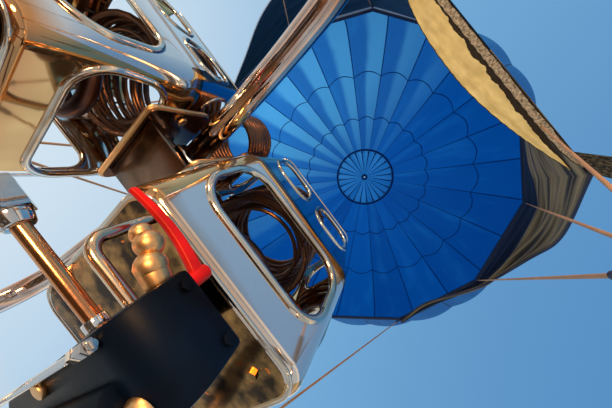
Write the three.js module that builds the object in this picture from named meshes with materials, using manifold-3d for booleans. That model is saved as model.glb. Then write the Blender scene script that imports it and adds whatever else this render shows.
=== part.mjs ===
// A hot air balloon with its scoop, flying wires, double burner and basket.
// Millimetres, +Z up. X runs through the two burner cans and Y across them.
// The origin is on the balloon's axis, level with the widest ring of the envelope.
import * as THREE from 'three';
import { mergeVertices } from 'three/addons/utils/BufferGeometryUtils.js';
import Module from 'manifold-3d';

const wasm = await Module();
wasm.setup();

// Gaps between pieces that touch
const GAP = 0.3;
const PIN_GAP = 0.8;

// Envelope
const GORES = 24;
const WIRE_POINTS = 12;
const EQUATOR_RADIUS = 6750;
const CROWN_RISE = 6900;
const MOUTH_DROP = 9150;
const MOUTH_RADIUS = 2250;
const MOUTH_LEAN = 33;
const CLOTH = 10;
const GORE_BULGE = 0.018;
const VENT_RADIUS = 1850;
const SEAT_RADIUS = 2250;
const UPPER_RADIUS = 5900;
const MOUTH_ROUNDING = 2600;
const SWELL = 1900;
const TANGENT = 5600;

// Crown and parachute valve
const CROWN_RING_RADIUS = 150;
const CROWN_RING_TUBE = 14;
const CROWN_TAPE_WIDTH = 50;
const CROWN_TAPE_THICKNESS = 6;
const CROWN_TAPE_LAP = 150;
const PARACHUTE_RADIUS = 2150;
const PARACHUTE_HUB = 60;
const PARACHUTE_SAG = 70;

// Mouth and scoop
const MOUTH_TUBE = 18;
const MOUTH_KNOT = 30;
const HOOP_LEVEL = -MOUTH_DROP - MOUTH_KNOT - GAP;
const SCOOP_CLOTH = 12;
const SCOOP_START_ANGLE = 15;
const SCOOP_COLUMNS = 28;
const SCOOP_ROWS = 5;
const SCOOP_CORNER_SHARE = 0.32;
const SCOOP_BILLOW = 60;
const SCOOP_SEAM = 40;
// x, y and height over the burner of the scoop's free edge, from the mouth to its lower corner
const SCOOP_EDGE = [
  [2065, 137, 3300], [2025, -503, 3000], [1658, -973, 2400], [1396, -1110, 2000], [923, -1253, 1570],
];
const SCOOP_FLAP = { half: 525, depth: 190, steps: 8 };

// Levels, down from the burner's base plates
const BURNER_LEVEL = -12600;
const FRAME_DROP = 120;
const BASKET_DROP = 2090;

// Flying wires and their corner fittings
const WIRE_RADIUS = 6;
const SWAGE_RISE = 200;
const SWAGE_RADIUS = 16;
const KARABINER_TUBE = 7;
const KARABINER_WIDTH = 60;

// Load frame
const FRAME_X = 510;
const FRAME_Y = 500;
const FRAME_TUBE = 20;
const CORNER_BLOCK = 64;
const LUG_THICKNESS = 14;
const LUG_WIDTH = 44;
const LUG_CENTRE = 14;
const LUG_HOLE = 12;
const LUG_EDGE = 12;
const PIVOT_FACE = 445;
const PIVOT_PIN = 8;
const PIVOT_DEPTH = 24;
const PIVOT_BLOCK = 52;

// Carrier arch
const ARCH_TUBE = 21;
const ARCH_LEG = 418;
const ARCH_LEVEL = 222;
const ARCH_BEND = { start: 60, corner: 151, y: 330, z: 176, peak: 268 };
const ARCH_ROLL = -5;
const BURNER_PITCH = 5.3;
const ARCH_COLLAR = 26;
const ARCH_STEPS = 36;
const YOKE_HALF = 28;
const YOKE_LENGTH = 58;
const YOKE_HEIGHT = 46;
const YOKE_PIN = 9;

// Burner cans
const CAN_SPACING = 420;
const CAN_WALL = 3;
const CAN_CORNER = 30;
// level, half width along X, half width along Y
const CAN_SECTIONS = [[0, 120, 120], [8, 127, 127], [200, 143, 143], [370, 130, 130]];
const WINDOW = { bottom: 52, top: 174, half: 106, corner: 45 };
const SLOT = { bottom: 262, top: 340, inner: 15, outer: 108, corner: 32 };
const COIL = { pipe: 6, radius: 106, bottom: 214, top: 392, turns: 9, clip: 4, clipTurn: 1 };
const JET_RING = { radius: 72, tube: 12, level: 128 };

// Burner bracket, valves and controls
const BRACKET_INNER = 45.5;
const BRACKET_PLATE = 8;
const BRACKET_HALF_Y = 84;
const BRACKET_BOTTOM = 132;
const BRACKET_TOP = 262;
const BRIDGE_LEVEL = 142;
const SPACER = { y: 70, level: 196, radius: 9, reach: 78 };
const VALVE = { x: 64, y: 157, z: 52, middleY: -78.5, drop: 45, neck: 24 };
const LEVER = { y: -134, drop: 22, thickness: 9, root: 24, tip: 14, from: 14, length: 95, boss: 8, bossX: 22 };
const CROSS_PIPE = { radius: 5, y: -107, drop: 78, nut: 13, nutLength: 34, nutX: 82 };
const GRAB_ROD = { radius: 5, y: -110, drop: 58, reach: 56, bend: 14 };
const UNDER_ROD = { radius: 2.5, fromX: 26, fromY: -142, toX: 38, toY: 62 };
const INLET = { radius: 14, length: 46, drop: 70 };

// Small coil over the carrier arch
const WHISPER = { pipe: 5, radius: 55, bottom: 272, top: 372, turns: 6, x: 0, y: -72 };

// Basket
const BASKET_X = 750;
const BASKET_Y = 600;
const BASKET_TAPER = 60;
const BASKET_HEIGHT = 1080;
const BASKET_WALL = 28;
const BASKET_CORNER = 130;
const FLOOR_THICKNESS = 22;
const FLOOR_RISE = 55;
const RIM_TUBE = 34;
const STEP_HOLE = { x: 420, half: 75, bottom: 330, top: 450 };
const SKID = { half: 32, length: 1360, spacing: 380, height: 40, beamX: 480, bite: 6 };
const UPRIGHT_RADIUS = 28;
const UPRIGHT_FOOT_X = 702;
const UPRIGHT_FOOT_Y = 552;
const SOCKET_RADIUS = 34;
const SOCKET_HEIGHT = 42;

// Fuel cylinders
const TANK = { radius: 150, height: 640, foot: 30, x: 500, y: 352, collar: 90 };

const part = new THREE.Group();
const degrees = THREE.MathUtils.degToRad;
const corners = [[1, -1], [1, 1], [-1, 1], [-1, -1]];

function finish(color, roughness, metalness) {
  return new THREE.MeshStandardMaterial({ color, roughness, metalness });
}

function addPiece(name, geometry, material, group = part) {
  const mesh = new THREE.Mesh(geometry, material);
  mesh.name = name;
  group.add(mesh);
}

// A group drawn upright, then tipped round a pivot on the balloon's axis
function tippedGroup(parent, pivotLevel, tip) {
  const turned = new THREE.Group();
  turned.position.set(0, 0, pivotLevel);
  turned.rotation.set(degrees(tip.x), degrees(tip.y), 0);
  const upright = new THREE.Group();
  upright.position.set(0, 0, -pivotLevel);
  turned.add(upright);
  parent.add(turned);
  return upright;
}

// Shape helpers

function bare(geometry) {
  const copy = geometry.clone();
  copy.deleteAttribute('normal');
  copy.deleteAttribute('uv');
  return mergeVertices(copy, 1e-3);
}

function toSolid(geometry) {
  const merged = bare(geometry);
  const vertProperties = Float32Array.from(merged.attributes.position.array);
  const triVerts = Uint32Array.from(merged.index.array);
  return new wasm.Manifold(new wasm.Mesh({ numProp: 3, vertProperties, triVerts }));
}

function toGeometry(solid) {
  const mesh = solid.getMesh();
  const geometry = new THREE.BufferGeometry();
  geometry.setAttribute('position', new THREE.BufferAttribute(mesh.vertProperties, 3));
  geometry.setIndex(new THREE.BufferAttribute(mesh.triVerts, 1));
  return geometry;
}

function joined(...geometries) {
  return toGeometry(geometries.map(toSolid).reduce((whole, solid) => whole.add(solid)));
}

function cut(geometry, ...tools) {
  return toGeometry(tools.map(toSolid).reduce((whole, solid) => whole.subtract(solid), toSolid(geometry)));
}

function boxAt(x, y, z, wide, deep, high) {
  return new THREE.BoxGeometry(wide, deep, high).translate(x, y, z);
}

// A round bar from one point to another
function bar(from, to, radius, sides = 12) {
  const start = new THREE.Vector3(...from);
  const end = new THREE.Vector3(...to);
  const middle = start.clone().add(end).multiplyScalar(0.5);
  const geometry = new THREE.CylinderGeometry(radius, radius, start.distanceTo(end), sides);
  const turn = new THREE.Quaternion().setFromUnitVectors(
    new THREE.Vector3(0, 1, 0), end.clone().sub(start).normalize());
  return geometry.applyQuaternion(turn).translate(middle.x, middle.y, middle.z);
}

function disc(radius, sides) {
  const shape = new THREE.Shape();
  for (let i = 0; i < sides; i += 1) {
    const angle = (i / sides) * Math.PI * 2;
    const x = radius * Math.cos(angle);
    const y = radius * Math.sin(angle);
    if (i === 0) shape.moveTo(x, y);
    else shape.lineTo(x, y);
  }
  shape.closePath();
  return shape;
}

function pipe(curve, radius, steps, sides = 8) {
  return new THREE.ExtrudeGeometry(disc(radius, sides), { steps, extrudePath: curve, bevelEnabled: false });
}

class Helix extends THREE.Curve {
  constructor(radius, bottom, top, turns) {
    super();
    Object.assign(this, { radius, bottom, top, turns });
  }

  getPoint(t, target = new THREE.Vector3()) {
    const angle = t * this.turns * Math.PI * 2;
    const z = this.bottom + (this.top - this.bottom) * t;
    return target.set(this.radius * Math.cos(angle), this.radius * Math.sin(angle), z);
  }
}

// A closed body between two grids of points with the same rows and columns.
// A ring's columns run right round, and a sheet's stop at its two side edges.
function shell(outer, inner, ring) {
  const rows = outer.length;
  const columns = outer[0].length;
  const positions = [...outer.flat(), ...inner.flat()].flatMap((p) => [p.x, p.y, p.z]);
  const at = (side, row, column) => side * rows * columns + row * columns + (column % columns);
  const index = [];
  const quad = (a, b, c, d) => index.push(a, b, c, a, c, d);
  const spans = ring ? columns : columns - 1;
  for (let row = 0; row < rows - 1; row += 1) {
    for (let column = 0; column < spans; column += 1) {
      quad(at(0, row, column), at(0, row, column + 1), at(0, row + 1, column + 1), at(0, row + 1, column));
      quad(at(1, row, column), at(1, row + 1, column), at(1, row + 1, column + 1), at(1, row, column + 1));
    }
  }
  for (let column = 0; column < spans; column += 1) {
    const last = rows - 1;
    quad(at(0, 0, column), at(1, 0, column), at(1, 0, column + 1), at(0, 0, column + 1));
    quad(at(0, last, column), at(0, last, column + 1), at(1, last, column + 1), at(1, last, column));
  }
  if (!ring) {
    const end = columns - 1;
    for (let row = 0; row < rows - 1; row += 1) {
      quad(at(0, row, 0), at(0, row + 1, 0), at(1, row + 1, 0), at(1, row, 0));
      quad(at(0, row, end), at(1, row, end), at(1, row + 1, end), at(0, row + 1, end));
    }
  }
  const geometry = new THREE.BufferGeometry();
  geometry.setAttribute('position', new THREE.Float32BufferAttribute(positions, 3));
  geometry.setIndex(index);
  return geometry;
}

function around(radius, angle, z) {
  return new THREE.Vector3(radius * Math.cos(angle), radius * Math.sin(angle), z);
}

// Envelope outline, as points of radius and height with the outward normal

const lean = degrees(MOUTH_LEAN);
const lowerCurve = new THREE.CubicBezierCurve(
  new THREE.Vector2(MOUTH_RADIUS, -MOUTH_DROP),
  new THREE.Vector2(MOUTH_RADIUS + TANGENT * Math.sin(lean), -MOUTH_DROP + TANGENT * Math.cos(lean)),
  new THREE.Vector2(EQUATOR_RADIUS, -SWELL),
  new THREE.Vector2(EQUATOR_RADIUS, 0));

function lowerPoint(share) {
  const place = lowerCurve.getPoint(share);
  const along = lowerCurve.getTangent(share);
  return { r: place.x, z: place.y, nr: along.y, nz: -along.x };
}

function crownHeight(radius) {
  return CROWN_RISE * Math.sqrt(1 - (radius / EQUATOR_RADIUS) ** 2);
}

function upperPoint(radius) {
  const nr = radius / EQUATOR_RADIUS ** 2;
  const nz = crownHeight(radius) / CROWN_RISE ** 2;
  const size = Math.hypot(nr, nz);
  return { r: radius, z: crownHeight(radius), nr: nr / size, nz: nz / size };
}

function lowerRows(from, to, steps) {
  return Array.from({ length: steps + 1 }, (_, i) => lowerPoint(from + ((to - from) * i) / steps));
}

function upperRows(fromRadius, toRadius, steps) {
  const from = Math.acos(fromRadius / EQUATOR_RADIUS);
  const to = Math.acos(toRadius / EQUATOR_RADIUS);
  return Array.from({ length: steps + 1 }, (_, i) => {
    return upperPoint(EQUATOR_RADIUS * Math.cos(from + ((to - from) * i) / steps));
  });
}

// The mouth is a twelve-sided hoop between the wires, and higher up each gore swells
const columnAngles = Array.from({ length: GORES * 2 }, (_, i) => (i / (GORES * 2)) * Math.PI * 2);
const wireStep = (Math.PI * 2) / WIRE_POINTS;

function mouthShare(angle) {
  const fromWire = THREE.MathUtils.euclideanModulo(angle, wireStep) - wireStep / 2;
  return Math.cos(wireStep / 2) / Math.cos(wireStep / 2 - Math.abs(fromWire));
}

function widthShare(angle, column, z) {
  const rise = THREE.MathUtils.smoothstep(z, -MOUTH_DROP, MOUTH_ROUNDING - MOUTH_DROP);
  const fall = 1 - THREE.MathUtils.smoothstep(z, CROWN_RISE / 2, crownHeight(SEAT_RADIUS));
  const swell = column % 2 === 1 ? 1 + GORE_BULGE * fall : 1;
  return mouthShare(angle) * (1 - rise) + swell * rise;
}

function band(rows) {
  const trimmed = rows.map((row) => ({ ...row }));
  const last = trimmed.length - 1;
  const before = trimmed[last - 1];
  const length = Math.hypot(trimmed[last].r - before.r, trimmed[last].z - before.z);
  trimmed[last].r += ((before.r - trimmed[last].r) * GAP) / length;
  trimmed[last].z += ((before.z - trimmed[last].z) * GAP) / length;
  const outer = trimmed.map((row) => columnAngles.map((angle, column) => {
    return around(row.r * widthShare(angle, column, row.z), angle, row.z);
  }));
  const inner = trimmed.map((row) => columnAngles.map((angle, column) => {
    const radius = row.r * widthShare(angle, column, row.z) - CLOTH * row.nr;
    return around(radius, angle, row.z - CLOTH * row.nz);
  }));
  return shell(outer, inner, true);
}

const royalBlue = finish(0x0f4da8, 0.7, 0);
const deepBlue = finish(0x0b3f93, 0.7, 0);
const navy = finish(0x12233f, 0.8, 0);
const khaki = finish(0x8a7a55, 0.85, 0);
const tapeGrey = finish(0x1a2c4f, 0.8, 0);

function addEnvelope() {
  addPiece('envelope_lower', band(lowerRows(0, 0.5, 6)), deepBlue);
  const middle = [...lowerRows(0.5, 0.9, 4), ...upperRows(EQUATOR_RADIUS, UPPER_RADIUS, 3)];
  const upper = [...upperRows(UPPER_RADIUS, SEAT_RADIUS, 5), upperPoint(VENT_RADIUS)];
  addPiece('envelope_middle', band(middle), royalBlue);
  addPiece('envelope_upper', band(upper), royalBlue);
}

function addMouthHoop() {
  const points = Array.from({ length: WIRE_POINTS }, (_, i) => {
    return around(MOUTH_RADIUS, (i + 0.5) * wireStep, HOOP_LEVEL);
  });
  const sides = points.map((point, i) => {
    const next = points[(i + 1) % WIRE_POINTS];
    return bar(point.toArray(), next.toArray(), MOUTH_TUBE, 6);
  });
  const knots = points.map((point) => new THREE.SphereGeometry(MOUTH_KNOT, 8, 6)
    .translate(point.x, point.y, point.z));
  addPiece('mouth_hoop', joined(...sides, ...knots), navy);
}

// Height of the cloth's outside round the vent, where it runs straight down its slope
const seatPoint = upperPoint(SEAT_RADIUS);
const ventPoint = upperPoint(VENT_RADIUS);
const ventSlope = (ventPoint.z - seatPoint.z) / (VENT_RADIUS - SEAT_RADIUS);

function ventCone(radius) {
  return radius < VENT_RADIUS ? -MOUTH_DROP : ventPoint.z + ventSlope * (radius - VENT_RADIUS);
}

// A ring over the vent and tapes from it to each gore line, lapped on the outside of the cloth
function addCrown() {
  const ringLevel = crownHeight(CROWN_RING_RADIUS);
  const ring = new THREE.TorusGeometry(CROWN_RING_RADIUS, CROWN_RING_TUBE, 8, 24).translate(0, 0, ringLevel);
  const radii = [VENT_RADIUS + CROWN_TAPE_LAP, VENT_RADIUS, 1300, CROWN_RING_RADIUS];
  const halfWidth = CROWN_TAPE_WIDTH / 2;
  const surface = (rise) => radii.map((radius) => {
    const z = Math.max(crownHeight(radius), ventCone(radius)) + rise;
    return [new THREE.Vector3(radius, -halfWidth, z), new THREE.Vector3(radius, halfWidth, z)];
  });
  const tape = shell(surface(2 * GAP + CROWN_TAPE_THICKNESS), surface(2 * GAP), false);
  const tapes = Array.from({ length: GORES }, (_, i) => tape.clone().rotateZ((i / GORES) * Math.PI * 2));
  addPiece('crown_ring_and_tapes', joined(ring, ...tapes), tapeGrey);
}

// The valve's rim lies against the underside of the cloth round the vent
function addParachute() {
  const wallDrop = CLOTH * Math.hypot(1, ventSlope) + GAP;
  const seatHeight = (radius) => ventPoint.z + ventSlope * (radius - VENT_RADIUS) - wallDrop;
  const rimRows = [PARACHUTE_RADIUS, VENT_RADIUS - CLOTH].map((r) => ({ r, z: seatHeight(r) }));
  const domeRows = [1400, 700, PARACHUTE_HUB].map((r) => ({ r, z: crownHeight(r) - PARACHUTE_SAG }));
  const rows = [...rimRows, ...domeRows];
  const sheet = (drop) => rows.map((row) => columnAngles.map((angle) => around(row.r, angle, row.z - drop)));
  addPiece('parachute_valve', shell(sheet(0), sheet(CLOTH), true), royalBlue);
}

// Scoop, a curtain from the mouth hoop down to a hem held out at two corners

function scoopTop(share) {
  const turn = degrees(SCOOP_START_ANGLE) - share * (Math.PI + 2 * degrees(SCOOP_START_ANGLE));
  return around(MOUTH_RADIUS * mouthShare(turn), turn, HOOP_LEVEL - MOUTH_KNOT - GAP);
}

const scoopSide = new THREE.CatmullRomCurve3([
  scoopTop(0).add(new THREE.Vector3(0, 0, -SCOOP_SEAM)),
  ...SCOOP_EDGE.map(([x, y, up]) => new THREE.Vector3(x, y, BURNER_LEVEL + up)),
]);

function scoopHem(share) {
  const side = share < 0.5 ? 1 : -1;
  const fromSide = share < 0.5 ? share : 1 - share;
  const along = Math.min(fromSide / SCOOP_CORNER_SHARE, 1);
  const across = Math.max(fromSide - SCOOP_CORNER_SHARE, 0) / (0.5 - SCOOP_CORNER_SHARE);
  const point = scoopSide.getPoint(along);
  return point.multiply(new THREE.Vector3(side * (1 - across), 1, 1));
}

// The curtain, with a crescent of cloth turned in along the front hem
function addScoop() {
  const sheet = (offset) => Array.from({ length: SCOOP_ROWS }, (_, row) => {
    return Array.from({ length: SCOOP_COLUMNS + 1 }, (_, column) => {
      const share = column / SCOOP_COLUMNS;
      const down = row / (SCOOP_ROWS - 1);
      const top = scoopTop(share);
      const point = top.clone().lerp(scoopHem(share), down);
      const outward = new THREE.Vector3(top.x, top.y, 0).normalize();
      const billow = SCOOP_BILLOW * Math.sin(down * Math.PI) * Math.sin(share * Math.PI);
      return point.addScaledVector(outward, billow + offset);
    });
  });
  const curtain = shell(sheet(SCOOP_CLOTH / 2), sheet(-SCOOP_CLOTH / 2), false);
  const [, hemY, hemUp] = SCOOP_EDGE[SCOOP_EDGE.length - 1];
  const { half, depth, steps } = SCOOP_FLAP;
  const inner = Array.from({ length: steps + 1 }, (_, i) => {
    const x = half - (2 * half * i) / steps;
    return new THREE.Vector2(x, hemY + SCOOP_CLOTH * 2 + depth * (1 - (x / half) ** 2));
  });
  const outline = [new THREE.Vector2(-half, hemY), new THREE.Vector2(half, hemY), ...inner];
  const flap = new THREE.ExtrudeGeometry(new THREE.Shape(outline), { depth: SCOOP_CLOTH, bevelEnabled: false });
  flap.translate(0, 0, BURNER_LEVEL + hemUp);
  addPiece('scoop', joined(curtain, flap), khaki);
}

// Flying wires, three to each corner of the load frame

const wireSteel = finish(0xb0703a, 0.6, 0);
const steel = finish(0xc9ccd2, 0.25, 1);

function cornerPoint([sideX, sideY], up) {
  return new THREE.Vector3(sideX * FRAME_X, sideY * FRAME_Y, BURNER_LEVEL + up);
}

function addWires(corner, number) {
  const foot = cornerPoint(corner, SWAGE_RISE);
  const middle = Math.atan2(corner[1], corner[0]);
  const strands = [-1, 0, 1].map((step) => {
    const turn = middle + step * wireStep;
    const top = around(MOUTH_RADIUS, turn, HOOP_LEVEL);
    const end = top.clone().add(foot.clone().sub(top).setLength(MOUTH_KNOT + GAP));
    return bar(foot.toArray(), end.toArray(), WIRE_RADIUS, 6);
  });
  const swage = new THREE.SphereGeometry(SWAGE_RADIUS, 10, 8).rotateX(Math.PI / 2)
    .translate(foot.x, foot.y, foot.z);
  addPiece(`flying_wires_${number}`, joined(swage, ...strands), wireSteel);
}

// The karabiner links the frame's lug to the wires' lower end
function addKarabiner(corner, number) {
  const lugHole = cornerPoint(corner, LUG_CENTRE);
  const bottom = lugHole.z - LUG_HOLE + KARABINER_TUBE + GAP;
  const tubeFlat = KARABINER_TUBE * Math.cos(Math.PI / 6);
  const top = BURNER_LEVEL + SWAGE_RISE - SWAGE_RADIUS - tubeFlat - GAP;
  const half = KARABINER_WIDTH / 2;
  const loop = new THREE.CatmullRomCurve3([
    [0, bottom], [half * 0.8, bottom + half * 0.5], [half, bottom + half * 1.6],
    [half, top - half * 1.6], [half * 0.8, top - half * 0.5], [0, top],
    [-half * 0.8, top - half * 0.5], [-half, top - half * 1.6],
    [-half, bottom + half * 1.6], [-half * 0.8, bottom + half * 0.5],
  ].map(([y, z]) => new THREE.Vector3(lugHole.x, lugHole.y + y, z)), true);
  addPiece(`karabiner_${number}`, bare(new THREE.TubeGeometry(loop, 20, KARABINER_TUBE, 6, true)), steel);
}

// Load frame, four tubes between corner castings with a lug above and a socket below each

const frameLevel = BURNER_LEVEL - FRAME_DROP;
const polished = finish(0xd6d9de, 0.12, 1);
const blackPaint = finish(0x15181d, 0.4, 0.4);
const darkBronze = finish(0x4a2f22, 0.45, 0.9);
const brass = finish(0xb98f45, 0.3, 1);
const redPaint = finish(0xc01510, 0.25, 0.1);
const wicker = finish(0x9a6a3a, 0.8, 0);
const leather = finish(0x4a2a18, 0.6, 0);
const plywood = finish(0x8f6b45, 0.7, 0);
const tankPaint = finish(0xc8cbd0, 0.35, 0.8);
const cover = finish(0x1c2534, 0.8, 0);

function addLoadFrame() {
  const sides = [-1, 1].flatMap((side) => [
    bar([-FRAME_X, side * FRAME_Y, frameLevel], [FRAME_X, side * FRAME_Y, frameLevel], FRAME_TUBE),
    bar([side * FRAME_X, -FRAME_Y, frameLevel], [side * FRAME_X, FRAME_Y, frameLevel], FRAME_TUBE),
  ]);
  const castings = corners.map(([sideX, sideY]) => {
    return boxAt(sideX * FRAME_X, sideY * FRAME_Y, frameLevel, CORNER_BLOCK, CORNER_BLOCK, CORNER_BLOCK);
  });
  const lugHeight = LUG_CENTRE + LUG_HOLE + LUG_EDGE + FRAME_DROP;
  const lugs = corners.map(([sideX, sideY]) => {
    const z = frameLevel + lugHeight / 2;
    return boxAt(sideX * FRAME_X, sideY * FRAME_Y, z, LUG_WIDTH, LUG_THICKNESS, lugHeight);
  });
  const pivots = [-1, 1].map((side) => {
    const depth = FRAME_Y - PIVOT_FACE;
    return boxAt(0, side * (PIVOT_FACE + depth / 2), frameLevel, PIVOT_BLOCK, depth, PIVOT_BLOCK);
  });
  const holes = corners.map(([sideX, sideY]) => {
    const y = sideY * FRAME_Y;
    const z = BURNER_LEVEL + LUG_CENTRE;
    return bar([sideX * FRAME_X, y - CORNER_BLOCK, z], [sideX * FRAME_X, y + CORNER_BLOCK, z], LUG_HOLE, 16);
  });
  const bores = [-1, 1].map((side) => {
    const from = [0, side * (PIVOT_FACE - PIVOT_BLOCK), frameLevel];
    return bar(from, [0, side * (PIVOT_FACE + PIVOT_DEPTH + PIN_GAP), frameLevel], PIVOT_PIN + PIN_GAP, 16);
  });
  addPiece('load_frame', cut(joined(...sides, ...castings, ...lugs, ...pivots), ...holes, ...bores), polished);
}

// Carrier arch, a bent tube that turns on the frame and carries the burner at its middle

function addArch(group) {
  const bottom = frameLevel;
  const place = (y, up) => new THREE.Vector3(0, y, BURNER_LEVEL + up);
  const path = new THREE.CurvePath();
  const leg = (side) => [
    new THREE.Vector3(0, side * ARCH_LEG, bottom), place(side * ARCH_LEG, ARCH_BEND.start),
    place(side * ARCH_LEG, ARCH_BEND.corner), place(side * ARCH_BEND.y, ARCH_BEND.z),
  ];
  const [footA, bendA, cornerA, shoulderA] = leg(-1);
  const [footB, bendB, cornerB, shoulderB] = leg(1);
  path.add(new THREE.LineCurve3(footA, bendA));
  path.add(new THREE.QuadraticBezierCurve3(bendA, cornerA, shoulderA));
  path.add(new THREE.QuadraticBezierCurve3(shoulderA, place(0, ARCH_BEND.peak), shoulderB));
  path.add(new THREE.QuadraticBezierCurve3(shoulderB, cornerB, bendB));
  path.add(new THREE.LineCurve3(bendB, footB));
  const tube = pipe(path, ARCH_TUBE, ARCH_STEPS, 10);
  const face = PIVOT_FACE - PIN_GAP;
  const ends = [-1, 1].flatMap((side) => [
    bar([0, side * (ARCH_LEG - ARCH_TUBE), bottom], [0, side * face, bottom], ARCH_COLLAR, 16),
    bar([0, side * ARCH_LEG, bottom], [0, side * (PIVOT_FACE + PIVOT_DEPTH), bottom], PIVOT_PIN, 16),
  ]);
  const top = BURNER_LEVEL + ARCH_LEVEL;
  const yoke = boxAt(0, 0, top, 2 * YOKE_HALF, YOKE_LENGTH, YOKE_HEIGHT);
  const pinEnd = BRACKET_INNER + BRACKET_PLATE;
  const pin = bar([-pinEnd, 0, top], [pinEnd, 0, top], YOKE_PIN, 16);
  addPiece('carrier_arch', joined(tube, ...ends, yoke, pin), polished, group);
}

// Burner cans, square flared shells with rounded edges, windows below the bend and slots above it

function roundedSquare(halfX, halfY, corner, perCorner = 5) {
  const points = [];
  for (let quarter = 0; quarter < 4; quarter += 1) {
    const signX = quarter === 0 || quarter === 3 ? 1 : -1;
    const signY = quarter < 2 ? 1 : -1;
    for (let i = 0; i < perCorner; i += 1) {
      const angle = ((quarter + i / (perCorner - 1)) * Math.PI) / 2;
      const x = signX * (halfX - corner) + corner * Math.cos(angle);
      const y = signY * (halfY - corner) + corner * Math.sin(angle);
      points.push([x, y]);
    }
  }
  return points;
}

function canRows(offset) {
  return CAN_SECTIONS.map(([z, halfX, halfY]) => {
    const section = roundedSquare(halfX + offset, halfY + offset, CAN_CORNER + offset);
    return section.map(([x, y]) => new THREE.Vector3(x, y, z));
  });
}

// A rounded opening punched through both opposite walls, along Y or turned to X
function punch(centre, half, bottom, top, corner, turned) {
  const outline = roundedSquare(half, (top - bottom) / 2, corner, 4);
  const shape = new THREE.Shape(outline.map(([x, y]) => new THREE.Vector2(x + centre, y + (top + bottom) / 2)));
  const depth = CAN_SPACING;
  const prism = new THREE.ExtrudeGeometry(shape, { depth, bevelEnabled: false });
  prism.translate(0, 0, -depth / 2).rotateX(Math.PI / 2);
  return turned ? prism.rotateZ(Math.PI / 2) : prism;
}

function canPlace(side) {
  return [(side * CAN_SPACING) / 2, 0, BURNER_LEVEL];
}

function addCan(name, side, group) {
  const wall = shell(canRows(0), canRows(-CAN_WALL), true);
  const slotHalf = (SLOT.outer - SLOT.inner) / 2;
  const slotCentre = (SLOT.outer + SLOT.inner) / 2;
  const openings = [false, true].flatMap((turned) => [
    punch(0, WINDOW.half, WINDOW.bottom, WINDOW.top, WINDOW.corner, turned),
    punch(slotCentre, slotHalf, SLOT.bottom, SLOT.top, SLOT.corner, turned),
    punch(-slotCentre, slotHalf, SLOT.bottom, SLOT.top, SLOT.corner, turned),
  ]);
  addPiece(name, cut(wall, ...openings).translate(...canPlace(side)), polished, group);
}

function addCanFloor(name, side, group) {
  const [, halfX, halfY] = CAN_SECTIONS[0];
  const inset = CAN_WALL + GAP;
  const outline = roundedSquare(halfX - inset, halfY - inset, CAN_CORNER - inset);
  const shape = new THREE.Shape(outline.map(([x, y]) => new THREE.Vector2(x, y)));
  const plate = new THREE.ExtrudeGeometry(shape, { depth: CAN_WALL, bevelEnabled: false });
  addPiece(name, plate.translate(...canPlace(side)), polished, group);
}

function canInnerHalf(level) {
  const [, , [bendZ, bendHalf], [topZ, topHalf]] = CAN_SECTIONS;
  return bendHalf + ((topHalf - bendHalf) * (level - bendZ)) / (topZ - bendZ) - CAN_WALL;
}

// Evaporator coil, held by four clips that reach the can's wall
function addCoil(name, side, group) {
  const coil = pipe(new Helix(COIL.radius, COIL.bottom, COIL.top, COIL.turns), COIL.pipe, COIL.turns * 10, 6);
  const pitch = (COIL.top - COIL.bottom) / COIL.turns;
  const clips = [0, 1, 2, 3].map((quarter) => {
    const z = COIL.bottom + pitch * (COIL.clipTurn + quarter / 4);
    const end = canInnerHalf(z + COIL.clip) - GAP;
    return bar([COIL.radius, 0, z], [end, 0, z], COIL.clip, 6).rotateZ((quarter * Math.PI) / 2);
  });
  addPiece(name, joined(coil, ...clips).translate(...canPlace(side)), darkBronze, group);
}

// Jet ring on a riser from the can's floor, with a cross rod through it
function addJetRing(name, side, group) {
  const { radius, tube, level } = JET_RING;
  const ring = new THREE.TorusGeometry(radius, tube, 8, 24).translate(0, 0, level);
  const foot = CAN_WALL + GAP;
  const riser = bar([0, 0, foot], [0, 0, level], tube, 10);
  const rod = bar([0, -radius, level], [0, radius, level], tube * 0.6, 8);
  addPiece(name, joined(ring, riser, rod).translate(...canPlace(side)), darkBronze, group);
}

// Bracket, two plates hung on the arch's pins and bolted to the cans through spacers
function addBracket(group) {
  const middle = BRACKET_INNER + BRACKET_PLATE / 2;
  const height = BRACKET_TOP - BRACKET_BOTTOM;
  const midRise = BRACKET_BOTTOM + height / 2;
  const midLevel = BURNER_LEVEL + midRise;
  const plates = [-1, 1].map((side) => {
    return boxAt(side * middle, 0, midLevel, BRACKET_PLATE, 2 * BRACKET_HALF_Y, height);
  });
  const bridge = boxAt(0, 0, BURNER_LEVEL + BRIDGE_LEVEL, 2 * middle, BRACKET_HALF_Y * 1.5, BRACKET_PLATE);
  const spacers = [-1, 1].flatMap((side) => [-1, 1].map((sideY) => {
    const y = sideY * SPACER.y;
    const z = BURNER_LEVEL + SPACER.level;
    return bar([side * middle, y, z], [side * SPACER.reach, y, z], SPACER.radius);
  }));
  const holes = [bar([-CAN_SPACING, 0, BURNER_LEVEL + ARCH_LEVEL], [CAN_SPACING, 0, BURNER_LEVEL + ARCH_LEVEL],
    YOKE_PIN + PIN_GAP, 16)];
  const hollows = [-1, 1].map((side) => {
    const block = shell(canRows(GAP), canRows(-CAN_CORNER / 2), true);
    return block.translate(...canPlace(side));
  });
  const postTop = WHISPER.bottom - WHISPER.pipe - GAP;
  const post = boxAt(WHISPER.radius - BRACKET_PLATE / 2, WHISPER.y, BURNER_LEVEL + (midRise + postTop) / 2,
    BRACKET_PLATE, BRACKET_PLATE, postTop - midRise);
  const whole = joined(...plates, bridge, ...spacers, post);
  addPiece('burner_bracket', cut(whole, ...holes, ...hollows), blackPaint, group);
}

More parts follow.
